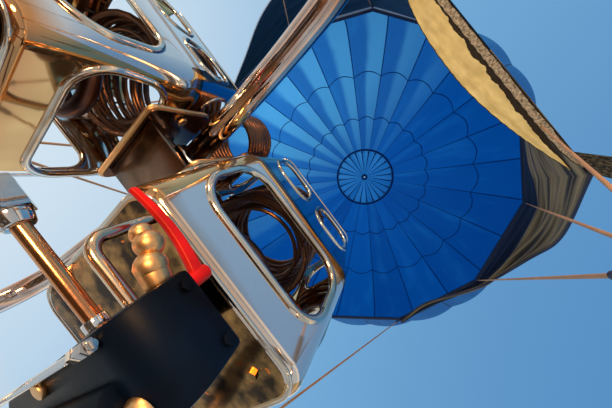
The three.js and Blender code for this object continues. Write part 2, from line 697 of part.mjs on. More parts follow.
function addWhisperCoil(group) {
  const coil = pipe(new Helix(WHISPER.radius, WHISPER.bottom, WHISPER.top, WHISPER.turns), WHISPER.pipe,
    WHISPER.turns * 10, 6);
  addPiece('small_coil', coil.translate(WHISPER.x, WHISPER.y, BURNER_LEVEL), darkBronze, group);
}

// Valve block under each can, with its neck up to the can's floor and a fuel inlet behind
function addValve(place, side, group) {
  const x = (side * CAN_SPACING) / 2;
  const top = BURNER_LEVEL - VALVE.drop;
  const block = boxAt(x, VALVE.middleY, top - VALVE.z / 2, VALVE.x, VALVE.y, VALVE.z);
  const neckY = VALVE.middleY / 2;
  const neck = bar([x, neckY, top - VALVE.z / 2], [x, neckY, BURNER_LEVEL - GAP], VALVE.neck, 16);
  const backY = VALVE.middleY + VALVE.y / 2;
  const inletZ = BURNER_LEVEL - INLET.drop;
  const inlet = bar([x, backY - INLET.radius, inletZ], [x, backY + INLET.length, inletZ], INLET.radius, 16);
  addPiece(`valve_block_${place}`, joined(block, neck, inlet), blackPaint, group);

  const blockFace = x - side * (VALVE.x / 2 + GAP);
  const leverShape = new THREE.Shape([
    new THREE.Vector2(0, -LEVER.root / 2), new THREE.Vector2(LEVER.length, -LEVER.tip / 2),
    new THREE.Vector2(LEVER.length, LEVER.tip / 2), new THREE.Vector2(0, LEVER.root / 2),
  ]);
  const lever = new THREE.ExtrudeGeometry(leverShape, { depth: LEVER.thickness, bevelEnabled: false });
  lever.rotateX(Math.PI / 2).translate(0, LEVER.thickness / 2, 0);
  if (side > 0) lever.rotateZ(Math.PI);
  const leverZ = BURNER_LEVEL - LEVER.drop;
  lever.translate(x - side * LEVER.from, LEVER.y, leverZ);
  const bossX = x - side * LEVER.bossX;
  const boss = bar([bossX, LEVER.y, top + GAP], [bossX, LEVER.y, leverZ], LEVER.boss);
  addPiece(`blast_lever_${place}`, joined(lever, boss), redPaint, group);

  const rodZ = BURNER_LEVEL - GRAB_ROD.drop;
  const reachX = blockFace - side * GRAB_ROD.reach;
  const path = new THREE.CurvePath();
  const at = (rodX, z) => new THREE.Vector3(rodX, GRAB_ROD.y, z);
  const bendX = reachX + side * GRAB_ROD.bend;
  const topZ = BURNER_LEVEL - GAP;
  path.add(new THREE.LineCurve3(at(blockFace, rodZ), at(bendX, rodZ)));
  path.add(new THREE.QuadraticBezierCurve3(at(bendX, rodZ), at(reachX, rodZ), at(reachX, rodZ + GRAB_ROD.bend)));
  path.add(new THREE.LineCurve3(at(reachX, rodZ + GRAB_ROD.bend), at(reachX, topZ)));
  addPiece(`grab_rod_${place}`, pipe(path, GRAB_ROD.radius, 10, 8), polished, group);

  const underZ = top - VALVE.z - GAP - UNDER_ROD.radius;
  const underFrom = [x - side * UNDER_ROD.fromX, UNDER_ROD.fromY, underZ];
  const underTo = [x - side * UNDER_ROD.toX, UNDER_ROD.toY, underZ];
  addPiece(`pilot_pipe_${place}`, bare(bar(underFrom, underTo, UNDER_ROD.radius, 10)), brass, group);
}

// Cross-flow pipe between the two valve blocks, with a nut near each end
function addCrossPipe(group) {
  const z = BURNER_LEVEL - CROSS_PIPE.drop;
  const end = CAN_SPACING / 2 - VALVE.x / 2 - GAP;
  const tube = bar([-end, CROSS_PIPE.y, z], [end, CROSS_PIPE.y, z], CROSS_PIPE.radius, 10);
  const nuts = [-1, 1].map((side) => {
    const middle = side * CROSS_PIPE.nutX;
    const half = CROSS_PIPE.nutLength / 2;
    return bar([middle - half, CROSS_PIPE.y, z], [middle + half, CROSS_PIPE.y, z], CROSS_PIPE.nut, 6);
  });
  addPiece('cross_flow_pipe', joined(tube, ...nuts), steel, group);
}

// Basket, a woven tub with rounded corners, a plywood floor, runners and a padded rim

function basketSection(level, offset) {
  const spread = 1 - level / BASKET_HEIGHT;
  const halfX = BASKET_X - BASKET_TAPER * spread + offset;
  const halfY = BASKET_Y - BASKET_TAPER * spread + offset;
  const z = BURNER_LEVEL - BASKET_DROP + level;
  return roundedSquare(halfX, halfY, BASKET_CORNER + offset).map(([x, y]) => new THREE.Vector3(x, y, z));
}

function addBasket() {
  const base = BURNER_LEVEL - BASKET_DROP;
  const levels = [SKID.height, BASKET_HEIGHT];
  const wall = shell(levels.map((z) => basketSection(z, 0)), levels.map((z) => basketSection(z, -BASKET_WALL)), true);
  const steps = [-1, 1].map((side) => {
    return boxAt(side * STEP_HOLE.x, 0, base + (STEP_HOLE.bottom + STEP_HOLE.top) / 2,
      2 * STEP_HOLE.half, 3 * BASKET_Y, STEP_HOLE.top - STEP_HOLE.bottom);
  });
  addPiece('basket_walls', cut(wall, ...steps), wicker);

  const outline = basketSection(FLOOR_RISE, -BASKET_WALL - GAP).map((p) => new THREE.Vector2(p.x, p.y));
  const floor = new THREE.ExtrudeGeometry(new THREE.Shape(outline), { depth: FLOOR_THICKNESS, bevelEnabled: false });
  addPiece('basket_floor', floor.translate(0, 0, base + FLOOR_RISE), plywood);

  const runners = [-1, 0, 1].map((step) => boxAt(0, step * SKID.spacing, base + (SKID.height - GAP) / 2,
    SKID.length, 2 * SKID.half, SKID.height - GAP));
  const beamBottom = base + SKID.height - SKID.bite;
  const beamTop = base + FLOOR_RISE - GAP;
  const beams = [-1, 1].map((side) => boxAt(side * SKID.beamX, 0, (beamBottom + beamTop) / 2,
    2 * SKID.half, 2 * SKID.spacing + 2 * SKID.half, beamTop - beamBottom));
  addPiece('basket_runners', joined(...runners, ...beams), plywood);

  const rimZ = base + BASKET_HEIGHT + RIM_TUBE + GAP;
  const rimPath = new THREE.CatmullRomCurve3(basketSection(BASKET_HEIGHT, -BASKET_WALL / 2)
    .map((p) => new THREE.Vector3(p.x, p.y, rimZ)), true, 'catmullrom', 0.1);
  addPiece('basket_rim', bare(new THREE.TubeGeometry(rimPath, 48, RIM_TUBE, 8, true)), leather);
}

// Uprights, padded rods from sockets on the basket's rim to the corners of the load frame
function addUprights() {
  const rimTop = BURNER_LEVEL - BASKET_DROP + BASKET_HEIGHT + 2 * RIM_TUBE + 2 * GAP;
  const frameBottom = frameLevel - CORNER_BLOCK / 2 - GAP;
  corners.forEach(([sideX, sideY], i) => {
    const place = (x, y, z) => [sideX * x, sideY * y, z];
    const foot = place(UPRIGHT_FOOT_X, UPRIGHT_FOOT_Y, rimTop + SOCKET_HEIGHT);
    const head = place(FRAME_X, FRAME_Y, frameBottom - SOCKET_HEIGHT);
    const lower = bar(place(UPRIGHT_FOOT_X, UPRIGHT_FOOT_Y, rimTop), foot, SOCKET_RADIUS);
    const upper = bar(head, place(FRAME_X, FRAME_Y, frameBottom), UPRIGHT_RADIUS);
    addPiece(`upright_${i + 1}`, joined(bar(foot, head, UPRIGHT_RADIUS), lower, upper), cover);
  });
}

// Fuel cylinders, standing in the corners of the basket
function addTanks() {
  const base = BURNER_LEVEL - BASKET_DROP + FLOOR_RISE + FLOOR_THICKNESS + GAP;
  const r = TANK.radius;
  const h = TANK.height;
  const profile = [
    [0, 0], [r * 0.7, 0], [r * 0.7, TANK.foot], [r, TANK.foot + r * 0.3], [r, h - r * 0.4],
    [r * 0.7, h - r * 0.1], [r * 0.62, h - r * 0.1], [r * 0.62, h + TANK.collar], [r * 0.5, h + TANK.collar],
    [r * 0.5, h], [r * 0.16, h], [r * 0.16, h + TANK.collar * 0.8], [0, h + TANK.collar * 0.8],
  ].map(([x, z]) => new THREE.Vector2(x, z));
  corners.forEach(([sideX, sideY], i) => {
    const body = new THREE.LatheGeometry(profile, 16).rotateX(Math.PI / 2);
    addPiece(`fuel_cylinder_${i + 1}`, bare(body).translate(sideX * TANK.x, sideY * TANK.y, base), tankPaint);
  });
}

addEnvelope();
addMouthHoop();
addCrown();
addParachute();
addScoop();
corners.forEach((corner, i) => addWires(corner, i + 1));
corners.forEach((corner, i) => addKarabiner(corner, i + 1));
addLoadFrame();
const archGroup = tippedGroup(part, frameLevel, { x: 0, y: ARCH_ROLL });
const burnerGroup = tippedGroup(archGroup, BURNER_LEVEL + ARCH_LEVEL, { x: BURNER_PITCH, y: 0 });
addArch(archGroup);
for (const [side, place] of [[1, 'right'], [-1, 'left']]) {
  addCan(`can_${place}`, side, burnerGroup);
  addCanFloor(`can_floor_${place}`, side, burnerGroup);
  addCoil(`main_coil_${place}`, side, burnerGroup);
  addJetRing(`jet_ring_${place}`, side, burnerGroup);
  addValve(place, side, burnerGroup);
}
addBracket(burnerGroup);
addWhisperCoil(burnerGroup);
addCrossPipe(burnerGroup);
addBasket();
addUprights();
addTanks();

export default part;
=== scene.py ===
# %% [markdown]
# # A hot air balloon, dressed from its CAD frame
# The balloon is packed as rigid solids. Here each solid either gets a finish of its own, or is replaced
# by a piece with more detail that stands in the same place. The frame is loaded first, because every
# piece is measured from it.

# %% Load the frame
import math
import bpy
import bmesh
from mathutils import Matrix, Vector


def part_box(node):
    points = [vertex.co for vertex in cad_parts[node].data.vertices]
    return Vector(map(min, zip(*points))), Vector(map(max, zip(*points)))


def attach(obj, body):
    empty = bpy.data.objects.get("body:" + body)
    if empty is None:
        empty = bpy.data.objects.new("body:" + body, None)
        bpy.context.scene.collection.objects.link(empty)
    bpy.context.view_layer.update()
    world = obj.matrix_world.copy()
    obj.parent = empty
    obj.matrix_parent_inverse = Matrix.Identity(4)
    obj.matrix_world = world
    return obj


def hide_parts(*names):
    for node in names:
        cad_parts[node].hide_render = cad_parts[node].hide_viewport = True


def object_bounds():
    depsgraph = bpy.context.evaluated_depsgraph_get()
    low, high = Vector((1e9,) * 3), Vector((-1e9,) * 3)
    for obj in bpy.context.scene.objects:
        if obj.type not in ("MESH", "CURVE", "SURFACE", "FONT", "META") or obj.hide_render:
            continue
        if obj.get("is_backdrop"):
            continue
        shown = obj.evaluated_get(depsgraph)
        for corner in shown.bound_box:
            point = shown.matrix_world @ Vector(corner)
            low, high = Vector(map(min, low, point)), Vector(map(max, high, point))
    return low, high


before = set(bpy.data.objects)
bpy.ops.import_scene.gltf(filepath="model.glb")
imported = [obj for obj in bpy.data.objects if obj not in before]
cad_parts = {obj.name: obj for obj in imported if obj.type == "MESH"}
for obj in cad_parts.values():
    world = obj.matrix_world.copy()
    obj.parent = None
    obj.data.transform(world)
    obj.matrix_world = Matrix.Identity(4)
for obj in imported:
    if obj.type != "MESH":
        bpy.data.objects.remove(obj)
cad_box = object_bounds()

# %% [markdown]
# ## The camera
# It stands in the basket and looks up past the burner. Its place and its lens were solved from the photo,
# so they are set as a matrix: the columns are the camera's right, up and back.

# %% Camera
LENS, NEAREST, FURTHEST = 14.144, 0.01, 200
eye = bpy.data.cameras.new("camera")
eye.sensor_width = 36
eye.lens = LENS
eye.clip_start = NEAREST
eye.clip_end = FURTHEST
camera = bpy.data.objects.new("camera", eye)
bpy.context.scene.collection.objects.link(camera)
camera.matrix_world = Matrix(((0.5808, -0.8118, 0.0607, 0.1945), (-0.7744, -0.574, -0.2662, -0.2608),
                              (0.2509, 0.1076, -0.962, -12.7742), (0, 0, 0, 1)))
bpy.context.scene.camera = camera
bpy.context.scene.view_settings.view_transform = "Standard"
print("camera at", [round(v, 3) for v in camera.matrix_world.translation])

# %% [markdown]
# ## The studio
# A pale floor lies at the basket's underside. It is one large disc, declared as stage so that it isn't
# taken for a part of the balloon.

# %% Floor
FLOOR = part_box("basket_runners")[0].z
FLOOR_RADIUS = 110

floor_bm = bmesh.new()
bmesh.ops.create_circle(floor_bm, cap_ends=True, segments=96, radius=FLOOR_RADIUS)
floor_mesh = bpy.data.meshes.new("studio_floor")
bmesh.ops.translate(floor_bm, vec=(0, 0, FLOOR), verts=floor_bm.verts)
floor_bm.to_mesh(floor_mesh)
floor = bpy.data.objects.new("studio_floor", floor_mesh)
bpy.context.scene.collection.objects.link(floor)
floor_paint = bpy.data.materials.new("studio_floor")
floor_paint.use_nodes = True
floor_shader = floor_paint.node_tree.nodes["Principled BSDF"]
floor_shader.inputs["Base Color"].default_value = (0.86, 0.78, 0.68, 1)
floor_shader.inputs["Roughness"].default_value = 0.8
floor_mesh.materials.append(floor_paint)
floor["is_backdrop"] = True
print("floor at", round(FLOOR, 3))

# %% [markdown]
# The surround is a blue that fades towards one side and turns warm at the horizon. Polished steel shows
# little but what it mirrors, so this colour ramp decides how the burner looks as much as its metal does.

# %% Surround


def grade(tree, value, low, high, kind="LINEAR"):
    """0 where value is at low, 1 where it is at high."""
    node = tree.nodes.new("ShaderNodeMapRange")
    node.interpolation_type = kind
    node.inputs["From Min"].default_value = low
    node.inputs["From Max"].default_value = high
    tree.links.new(value, node.inputs["Value"])
    return node.outputs["Result"]


def mixed(tree, factor, first, second):
    """The first colour where factor is 0, the second where it is 1. Each may be a value or a socket."""
    node = tree.nodes.new("ShaderNodeMix")
    node.data_type = "RGBA"
    for socket, value in ((node.inputs["Factor"], factor), (node.inputs[6], first), (node.inputs[7], second)):
        if isinstance(value, (tuple, float, int)):
            socket.default_value = (*value, 1) if isinstance(value, tuple) else value
        else:
            tree.links.new(value, socket)
    return node.outputs[2]


BLUE_SIDE, HAZE = (0.75, -0.5, 0.1), (0.95, 0.8, 0.6)
surround = bpy.data.worlds.new("surround")
surround.use_nodes = True
bpy.context.scene.world = surround
air = surround.node_tree
direction = air.nodes.new("ShaderNodeTexCoord")
towards = air.nodes.new("ShaderNodeVectorMath")
towards.operation = "DOT_PRODUCT"
towards.inputs[1].default_value = BLUE_SIDE
air.links.new(direction.outputs["Generated"], towards.inputs[0])
sky = air.nodes.new("ShaderNodeValToRGB")
sky.color_ramp.elements[0].position = 0.08
sky.color_ramp.elements[0].color = (0.72, 0.83, 0.91, 1)
sky.color_ramp.elements[1].position = 1.0
sky.color_ramp.elements[1].color = (0.06, 0.22, 0.5, 1)
middle_sky = sky.color_ramp.elements.new(0.45)
middle_sky.color = (0.2, 0.44, 0.7, 1)
air.links.new(grade(air, towards.outputs["Value"], -1.0, 1.0), sky.inputs["Fac"])
upward = air.nodes.new("ShaderNodeSeparateXYZ")
air.links.new(direction.outputs["Generated"], upward.inputs[0])
near_horizon = grade(air, upward.outputs["Z"], 0.34, 0.02)
air.links.new(mixed(air, near_horizon, sky.outputs["Color"], HAZE), air.nodes["Background"].inputs["Color"])
print("surround:", surround.name)

# %% [markdown]
# The lamps are large and soft. Three of them hang inside the envelope and stand for daylight that comes
# through thin cloth, which a closed wall can't pass. Three warm ones are also seen in reflections, as low
# sun on metal is.

# %% Lamps


def lamp(name, kind, place, power, size, colour, aim=None, mirrored=False):
    light = bpy.data.lights.new(name, kind)
    light.energy = power
    light.color = colour
    if kind == "AREA":
        light.shape = "DISK"
        light.size = size
    elif kind == "SUN":
        light.angle = size
    else:
        light.shadow_soft_size = size
    holder = bpy.data.objects.new(name, light)
    holder.location = place
    if aim is not None:
        holder.rotation_euler = (Vector(aim) - Vector(place)).to_track_quat("-Z", "Y").to_euler()
    holder.visible_camera = False
    holder.visible_glossy = mirrored
    bpy.context.scene.collection.objects.link(holder)


lamp("glow_sunlit_side", "POINT", (-3.0, 0.9, 0.5), 560, 1.2, (0.85, 0.93, 1.0))
lamp("glow_middle", "POINT", (0.4, -0.2, 1.5), 330, 1.6, (0.8, 0.9, 1.0))
lamp("glow_mouth", "POINT", (-0.6, 0, -6.0), 80, 0.8, (0.8, 0.9, 1.0))
lamp("studio_key", "SUN", (-9, -12, -4), 1.5, 0.5, (1.0, 0.86, 0.66), (0, 0, -12))
lamp("studio_fill", "SUN", (13, 9, -3), 0.5, 0.8, (0.9, 0.95, 1.0), (0, 0, -12))
lamp("warm_below", "AREA", (-0.3, -0.95, -13.5), 16, 0.35, (1.0, 0.55, 0.22), (0.0, 0, -12.5), mirrored=True)
lamp("warm_side", "AREA", (-2.6, -1.6, -13.2), 60, 0.8, (1.0, 0.62, 0.3), (0.0, 0, -12.5), mirrored=True)
lamp("warm_far_side", "AREA", (2.0, 1.7, -11.3), 5, 1.8, (1.0, 0.84, 0.64), (0.0, 0, -12.6), mirrored=True)

# %% [markdown]
# ## Helpers for making pieces
# Most pieces are a few simple shapes joined in one mesh. Each helper below makes one such shape and hands
# back a mesh. The first ones start from bmesh's own cube, cone and sphere, and round the edges with a
# bevel, because no real edge is perfectly sharp.

# %% Blocks, rods and balls


def to_mesh(bm, name="shape"):
    mesh = bpy.data.meshes.new(name)
    bm.to_mesh(mesh)
    bm.free()
    return mesh


def round_edges(bm, edges, offset, segments=2):
    bmesh.ops.bevel(bm, geom=edges, offset=offset, segments=segments, affect="EDGES", profile=0.5,
                    material=-1)


def block(size, centre, bevel=0.0, along=None, segments=2):
    """A box with rounded edges; with along = 0, 1 or 2 only the edges that run that way are rounded."""
    bm = bmesh.new()
    bmesh.ops.create_cube(bm, size=1)
    bmesh.ops.scale(bm, vec=size, verts=bm.verts)
    if bevel:
        edges = bm.edges[:]
        if along is not None:
            edges = [e for e in edges if abs((e.verts[0].co - e.verts[1].co).normalized()[along]) > 0.9]
        round_edges(bm, edges, bevel, segments)
    bmesh.ops.translate(bm, vec=centre, verts=bm.verts)
    return to_mesh(bm)


def rod(start, end, radius, sides=16, end_radius=None, bevel=0.0):
    """A round or tapered bar between two points."""
    start, end = Vector(start), Vector(end)
    bm = bmesh.new()
    bmesh.ops.create_cone(bm, cap_ends=True, segments=sides, radius1=radius,
                          radius2=radius if end_radius is None else end_radius, depth=(end - start).length)
    if bevel:
        rims = [e for e in bm.edges if abs(e.verts[0].co.z - e.verts[1].co.z) < 1e-6]
        round_edges(bm, rims, bevel)
    turn = (end - start).to_track_quat("Z", "Y").to_matrix().to_4x4()
    bmesh.ops.transform(bm, matrix=Matrix.Translation((start + end) / 2) @ turn, verts=bm.verts)
    return to_mesh(bm)


def rod_x(start, end, y, z, radius, sides=16, end_radius=None, bevel=0.0):
    """A bar along X."""
    return rod((start, y, z), (end, y, z), radius, sides, end_radius, bevel)


def ball(centre, radius):
    bm = bmesh.new()
    bmesh.ops.create_uvsphere(bm, u_segments=24, v_segments=14, radius=radius)
    bmesh.ops.translate(bm, vec=centre, verts=bm.verts)
    return to_mesh(bm)


print("blocks, rods and balls")

# %% [markdown]
# Round things are spun from a profile or a small circle. Pipes and wires follow a line of points: a curve
# with a bevel depth makes those, because it turns its section along the line without a twist.

# %% Turned, hooped and piped shapes


def turned(profile, steps, place=(0, 0, 0)):
    """A shape turned round the vertical axis from a list of radius and height."""
    bm = bmesh.new()
    verts = [bm.verts.new((r, 0, z)) for r, z in profile]
    edges = [bm.edges.new(pair) for pair in zip(verts, verts[1:])]
    bmesh.ops.spin(bm, geom=verts + edges, cent=(0, 0, 0), axis=(0, 0, 1), angle=2 * math.pi, steps=steps,
                   use_merge=True)
    bmesh.ops.remove_doubles(bm, verts=bm.verts, dist=1e-5)
    bmesh.ops.recalc_face_normals(bm, faces=bm.faces)
    bmesh.ops.translate(bm, vec=place, verts=bm.verts)
    return to_mesh(bm)


def hoop(radius, thick, steps, centre=(0, 0, 0), axis="Z", angle=0.0, sides=12):
    """A ring of round wire about the axis Z or X."""
    bm = bmesh.new()
    bmesh.ops.create_circle(bm, segments=sides, radius=thick)
    bmesh.ops.rotate(bm, cent=(0, 0, 0), matrix=Matrix.Rotation(math.pi / 2, 3, "X"), verts=bm.verts)
    bmesh.ops.translate(bm, vec=(radius, 0, 0), verts=bm.verts)
    bmesh.ops.rotate(bm, cent=(0, 0, 0), matrix=Matrix.Rotation(angle, 3, "Z"), verts=bm.verts)
    bmesh.ops.spin(bm, geom=bm.verts[:] + bm.edges[:], cent=(0, 0, 0), axis=(0, 0, 1), angle=2 * math.pi,
                   steps=steps, use_merge=True)
    bmesh.ops.recalc_face_normals(bm, faces=bm.faces)
    turn = Matrix.Rotation(math.pi / 2 if axis == "X" else 0, 4, "Y")
    bmesh.ops.transform(bm, matrix=Matrix.Translation(centre) @ turn, verts=bm.verts)
    return to_mesh(bm)


def tube(points, radius, closed=False, sides=12):
    """A round tube along a line of points."""
    line = bpy.data.curves.new("line", "CURVE")
    line.dimensions = "3D"
    line.bevel_depth = radius
    line.bevel_resolution = (sides - 4) // 2
    line.use_fill_caps = not closed
    spline = line.splines.new("POLY")
    spline.points.add(len(points) - 1)
    for point, place in zip(spline.points, points):
        point.co = (*place, 1)
    spline.use_cyclic_u = closed
    holder = bpy.data.objects.new("line", line)
    mesh = bpy.data.meshes.new_from_object(holder)
    bpy.data.objects.remove(holder)
    return mesh


def helix(radius, bottom, top, turns, centre):
    """Points along a coil, 28 to a turn."""
    steps = turns * 28
    return [(centre[0] + radius * math.cos(2 * math.pi * turns * i / steps),
             centre[1] + radius * math.sin(2 * math.pi * turns * i / steps),
             centre[2] + bottom + (top - bottom) * i / steps) for i in range(steps + 1)]


def bent(points, steps=8):
    """A smooth line through all the points, with some steps from each to the next."""
    places = [Vector(p) for p in points]
    places = [2 * places[0] - places[1], *places, 2 * places[-1] - places[-2]]
    line = []
    for a, b, c, d in zip(places, places[1:], places[2:], places[3:]):
        for i in range(steps):
            t = i / steps
            line.append(0.5 * (2 * b + (c - a) * t + (2 * a - 5 * b + 4 * c - d) * t ** 2
                               + (3 * b - a - 3 * c + d) * t ** 3))
    return line + [places[-2]]


print("turned, hooped and piped shapes")

# %% [markdown]
# `piece` joins shapes in one mesh, sets smooth shading and ties the result to its body. The burner leans
# as in the photo: 5 degrees on the frame and 5.3 degrees on the arch. So pieces of those bodies are drawn
# upright and then tipped about the same two pins.

# %% Tying a piece to its body
FRAME_LEVEL = -12.72
BURNER_LEVEL = -12.6
YOKE_LEVEL = BURNER_LEVEL + 0.222
ROLL, PITCH = -5, 5.3


def tipped(level, angle, axis):
    """A turn by angle about the axis at a height."""
    return (Matrix.Translation((0, 0, level)) @ Matrix.Rotation(math.radians(angle), 4, axis)
            @ Matrix.Translation((0, 0, -level)))


arch_tilt = tipped(FRAME_LEVEL, ROLL, "Y")
burner_tilt = arch_tilt @ tipped(YOKE_LEVEL, PITCH, "X")
tilts = {"gimbal": arch_tilt, "burner": burner_tilt}


def piece(name, shapes, body, material, replaced=(), sharp=35):
    """Joins the shapes in one mesh, in place, smooth shaded, riding on its body."""
    bm = bmesh.new()
    for shape in shapes:
        bm.from_mesh(shape)
        bpy.data.meshes.remove(shape)
    if body in tilts:
        bmesh.ops.transform(bm, matrix=tilts[body], verts=bm.verts)
    mesh = to_mesh(bm, name)
    mesh.polygons.foreach_set("use_smooth", [True] * len(mesh.polygons))
    mesh.set_sharp_from_angle(angle=math.radians(sharp))
    made = bpy.data.objects.new(name, mesh)
    bpy.context.scene.collection.objects.link(made)
    mesh.materials.append(material)
    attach(made, body)
    if replaced:
        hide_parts(*replaced)
    return made


print("burner leans", [round(math.degrees(a), 1) for a in burner_tilt.to_euler()])

# %% [markdown]
# ## Shared effects
# Two effects come back in many finishes, so each is a node group: a cloth weave with a ripstop grid, and
# the cloudy wear of handled surfaces. A group puts out only heights, masks and values. The shader stays
# in the material.

# %% Node helpers


def effect(name, inputs, outputs):
    group = bpy.data.node_groups.new(name, "ShaderNodeTree")
    for label, kind, value in inputs:
        socket = group.interface.new_socket(name=label, in_out="INPUT", socket_type=kind)
        if value is not None:
            socket.default_value = value
    for label, kind in outputs:
        group.interface.new_socket(name=label, in_out="OUTPUT", socket_type=kind)
    return group, group.nodes.new("NodeGroupInput"), group.nodes.new("NodeGroupOutput")


def math_node(tree, operation, a, b=None):
    node = tree.nodes.new("ShaderNodeMath")
    node.operation = operation
    for socket, value in zip(node.inputs, (a, b)):
        if value is None:
            continue
        if isinstance(value, (int, float)):
            socket.default_value = value
        else:
            tree.links.new(value, socket)
    return node.outputs[0]


def noise(tree, vector, scale, detail=3.0):
    node = tree.nodes.new("ShaderNodeTexNoise")
    node.inputs["Scale"].default_value = scale
    node.inputs["Detail"].default_value = detail
    tree.links.new(vector, node.inputs["Vector"])
    return node.outputs["Fac"]


print("node helpers")

# %% [markdown]
# The weave is two sine waves at right angles. Where either of two slower waves crosses zero lies a
# thicker thread, which gives the ripstop grid that stops a tear.

# %% Weave
weave, weave_in, weave_out = effect("ripstop_weave", [("Vector", "NodeSocketVector", None),
                                                      ("Threads", "NodeSocketFloat", 400.0),
                                                      ("Grid", "NodeSocketFloat", 120.0)],
                                    [("Height", "NodeSocketFloat"), ("Grid", "NodeSocketFloat")])
parts = weave.nodes.new("ShaderNodeSeparateXYZ")
weave.links.new(weave_in.outputs["Vector"], parts.inputs[0])
threads, squares = [], []
for axis in (0, 1):
    threads.append(math_node(weave, "SINE", math_node(
        weave, "MULTIPLY", parts.outputs[axis], weave_in.outputs["Threads"])))
    line = math_node(weave, "ABSOLUTE", math_node(
        weave, "SINE", math_node(weave, "MULTIPLY", parts.outputs[axis], weave_in.outputs["Grid"])))
    squares.append(math_node(weave, "LESS_THAN", line, 0.06))
weave.links.new(math_node(weave, "ADD", threads[0], threads[1]), weave_out.inputs["Height"])
weave.links.new(math_node(weave, "MAXIMUM", squares[0], squares[1]), weave_out.inputs["Grid"])
print("effect:", weave.name)

# %% [markdown]
# Wear is a slow noise for hands and weather and a fast one for scratches. Together they slide the
# roughness between a low and a high value that each finish gives.

# %% Wear
wear, wear_in, wear_out = effect("cloudy_wear", [("Vector", "NodeSocketVector", None),
                                                 ("Low", "NodeSocketFloat", 0.1),
                                                 ("High", "NodeSocketFloat", 0.3)],
                                 [("Roughness", "NodeSocketFloat")])
coarse = noise(wear, wear_in.outputs["Vector"], 9.0, 4.0)
fine = noise(wear, wear_in.outputs["Vector"], 60.0, 2.0)
cloud = math_node(wear, "MULTIPLY", math_node(wear, "ADD", coarse, fine), 0.5)
spread = math_node(wear, "SUBTRACT", wear_in.outputs["High"], wear_in.outputs["Low"])
wear.links.new(math_node(wear, "ADD", wear_in.outputs["Low"], math_node(wear, "MULTIPLY", spread, cloud)),
               wear_out.inputs["Roughness"])
print("effect:", wear.name)

# %% [markdown]
# ## Finishes
# Every finish is a Principled shader whose colour, roughness and bump vary over the surface. Metals
# differ in tint and wear; the coil and the cans' floor plates are heated by the flame, so they turn bronze
# and straw, while the straw and brown on the can walls are painted reflections.

# %% Finish helpers


def start_finish(name, roughness=0.5, metallic=0.0):
    made = bpy.data.materials.new(name)
    made.use_nodes = True
    shader = made.node_tree.nodes["Principled BSDF"]
    shader.inputs["Roughness"].default_value = roughness
    shader.inputs["Metallic"].default_value = metallic
    return made, made.node_tree, shader


def object_place(tree, scale=(1, 1, 1)):
    coordinates = tree.nodes.new("ShaderNodeTexCoord")
    mapping = tree.nodes.new("ShaderNodeMapping")
    mapping.inputs["Scale"].default_value = scale
    tree.links.new(coordinates.outputs["Object"], mapping.inputs["Vector"])
    return mapping.outputs["Vector"]


def uv_place(tree, name="UVMap"):
    node = tree.nodes.new("ShaderNodeUVMap")
    node.uv_map = name
    return node.outputs["UV"]


def clamped(tree, value):
    node = tree.nodes.new("ShaderNodeClamp")
    tree.links.new(value, node.inputs["Value"])
    return node.outputs[0]


def placed(tree, group, vector, **values):
    node = tree.nodes.new("ShaderNodeGroup")
    node.node_tree = group
    tree.links.new(vector, node.inputs["Vector"])
    for label, value in values.items():
        node.inputs[label].default_value = value
    return node


def worn_roughness(tree, shader, vector, low, high):
    worn = placed(tree, wear, vector, Low=low, High=high)
    tree.links.new(worn.outputs["Roughness"], shader.inputs["Roughness"])


def bumped(tree, shader, height, strength, distance):
    node = tree.nodes.new("ShaderNodeBump")
    node.inputs["Strength"].default_value = strength
    node.inputs["Distance"].default_value = distance
    tree.links.new(height, node.inputs["Height"])
    tree.links.new(node.outputs["Normal"], shader.inputs["Normal"])


def band(tree, value, centre, width):
    """1 where value is within width of centre, and 0 elsewhere."""
    away = math_node(tree, "ABSOLUTE", math_node(tree, "SUBTRACT", value, centre))
    return math_node(tree, "LESS_THAN", away, width)


print("finish helpers")

# %% [markdown]
# Metals differ in colour, in the tint that heat or handling gives them in patches, and in how rough they
# are. On the black casting the blue tint patches are a painted sheen, and on the arch the heat tint is
# deepened into painted orange glints. Rolled sheet gets a slow wave, everything else a fine grain. Paint is
# the same recipe with no metal in it.

# %% Metals and paints


def metal(name, colour, tint, low, high, metallic=1.0, tint_scale=3.0, wave=0.0, coat=0.0, gloss=0.5):
    """A finish that turns from colour to tint in patches, with a roughness from low to high."""
    made, tree, shader = start_finish(name, 0.2, metallic)
    place = object_place(tree)
    worn_roughness(tree, shader, place, low, high)
    patches = math_node(tree, "SUBTRACT", noise(tree, place, tint_scale, 3.0), 0.42)
    share = clamped(tree, math_node(tree, "MULTIPLY", patches, 3.2))
    tree.links.new(mixed(tree, share, colour, tint), shader.inputs["Base Color"])
    shader.inputs["Coat Weight"].default_value = coat
    shader.inputs["Specular IOR Level"].default_value = gloss
    if wave:
        bumped(tree, shader, noise(tree, place, 5.0, 1.0), wave, 0.02)
    else:
        bumped(tree, shader, noise(tree, place, 220.0, 2.0), 0.06, 0.001)
    return made


chrome = metal("polished_tube", (0.78, 0.77, 0.75), (0.5, 0.27, 0.12), 0.03, 0.12, tint_scale=9.0)
satin = metal("satin_steel", (0.66, 0.67, 0.69), (0.5, 0.46, 0.42), 0.22, 0.45, tint_scale=14.0)
bronze = metal("heated_coil", (0.2, 0.09, 0.045), (0.04, 0.026, 0.03), 0.22, 0.46, tint_scale=16.0)
lip_steel = metal("rolled_lip", (0.78, 0.7, 0.58), (0.5, 0.3, 0.15), 0.06, 0.2, tint_scale=13.0)
plate_steel = metal("bronzed_plate", (0.3, 0.17, 0.1), (0.06, 0.04, 0.035), 0.1, 0.3, tint_scale=12.0)
# The arch's orange tint patches are heat tint deepened into painted orange glints.
arch_finish = metal("bent_tube", (0.8, 0.74, 0.68), (0.5, 0.17, 0.05), 0.03, 0.1, tint_scale=8.0)
soot = metal("sooted_ring", (0.16, 0.07, 0.045), (0.05, 0.03, 0.03), 0.25, 0.5, tint_scale=18.0)
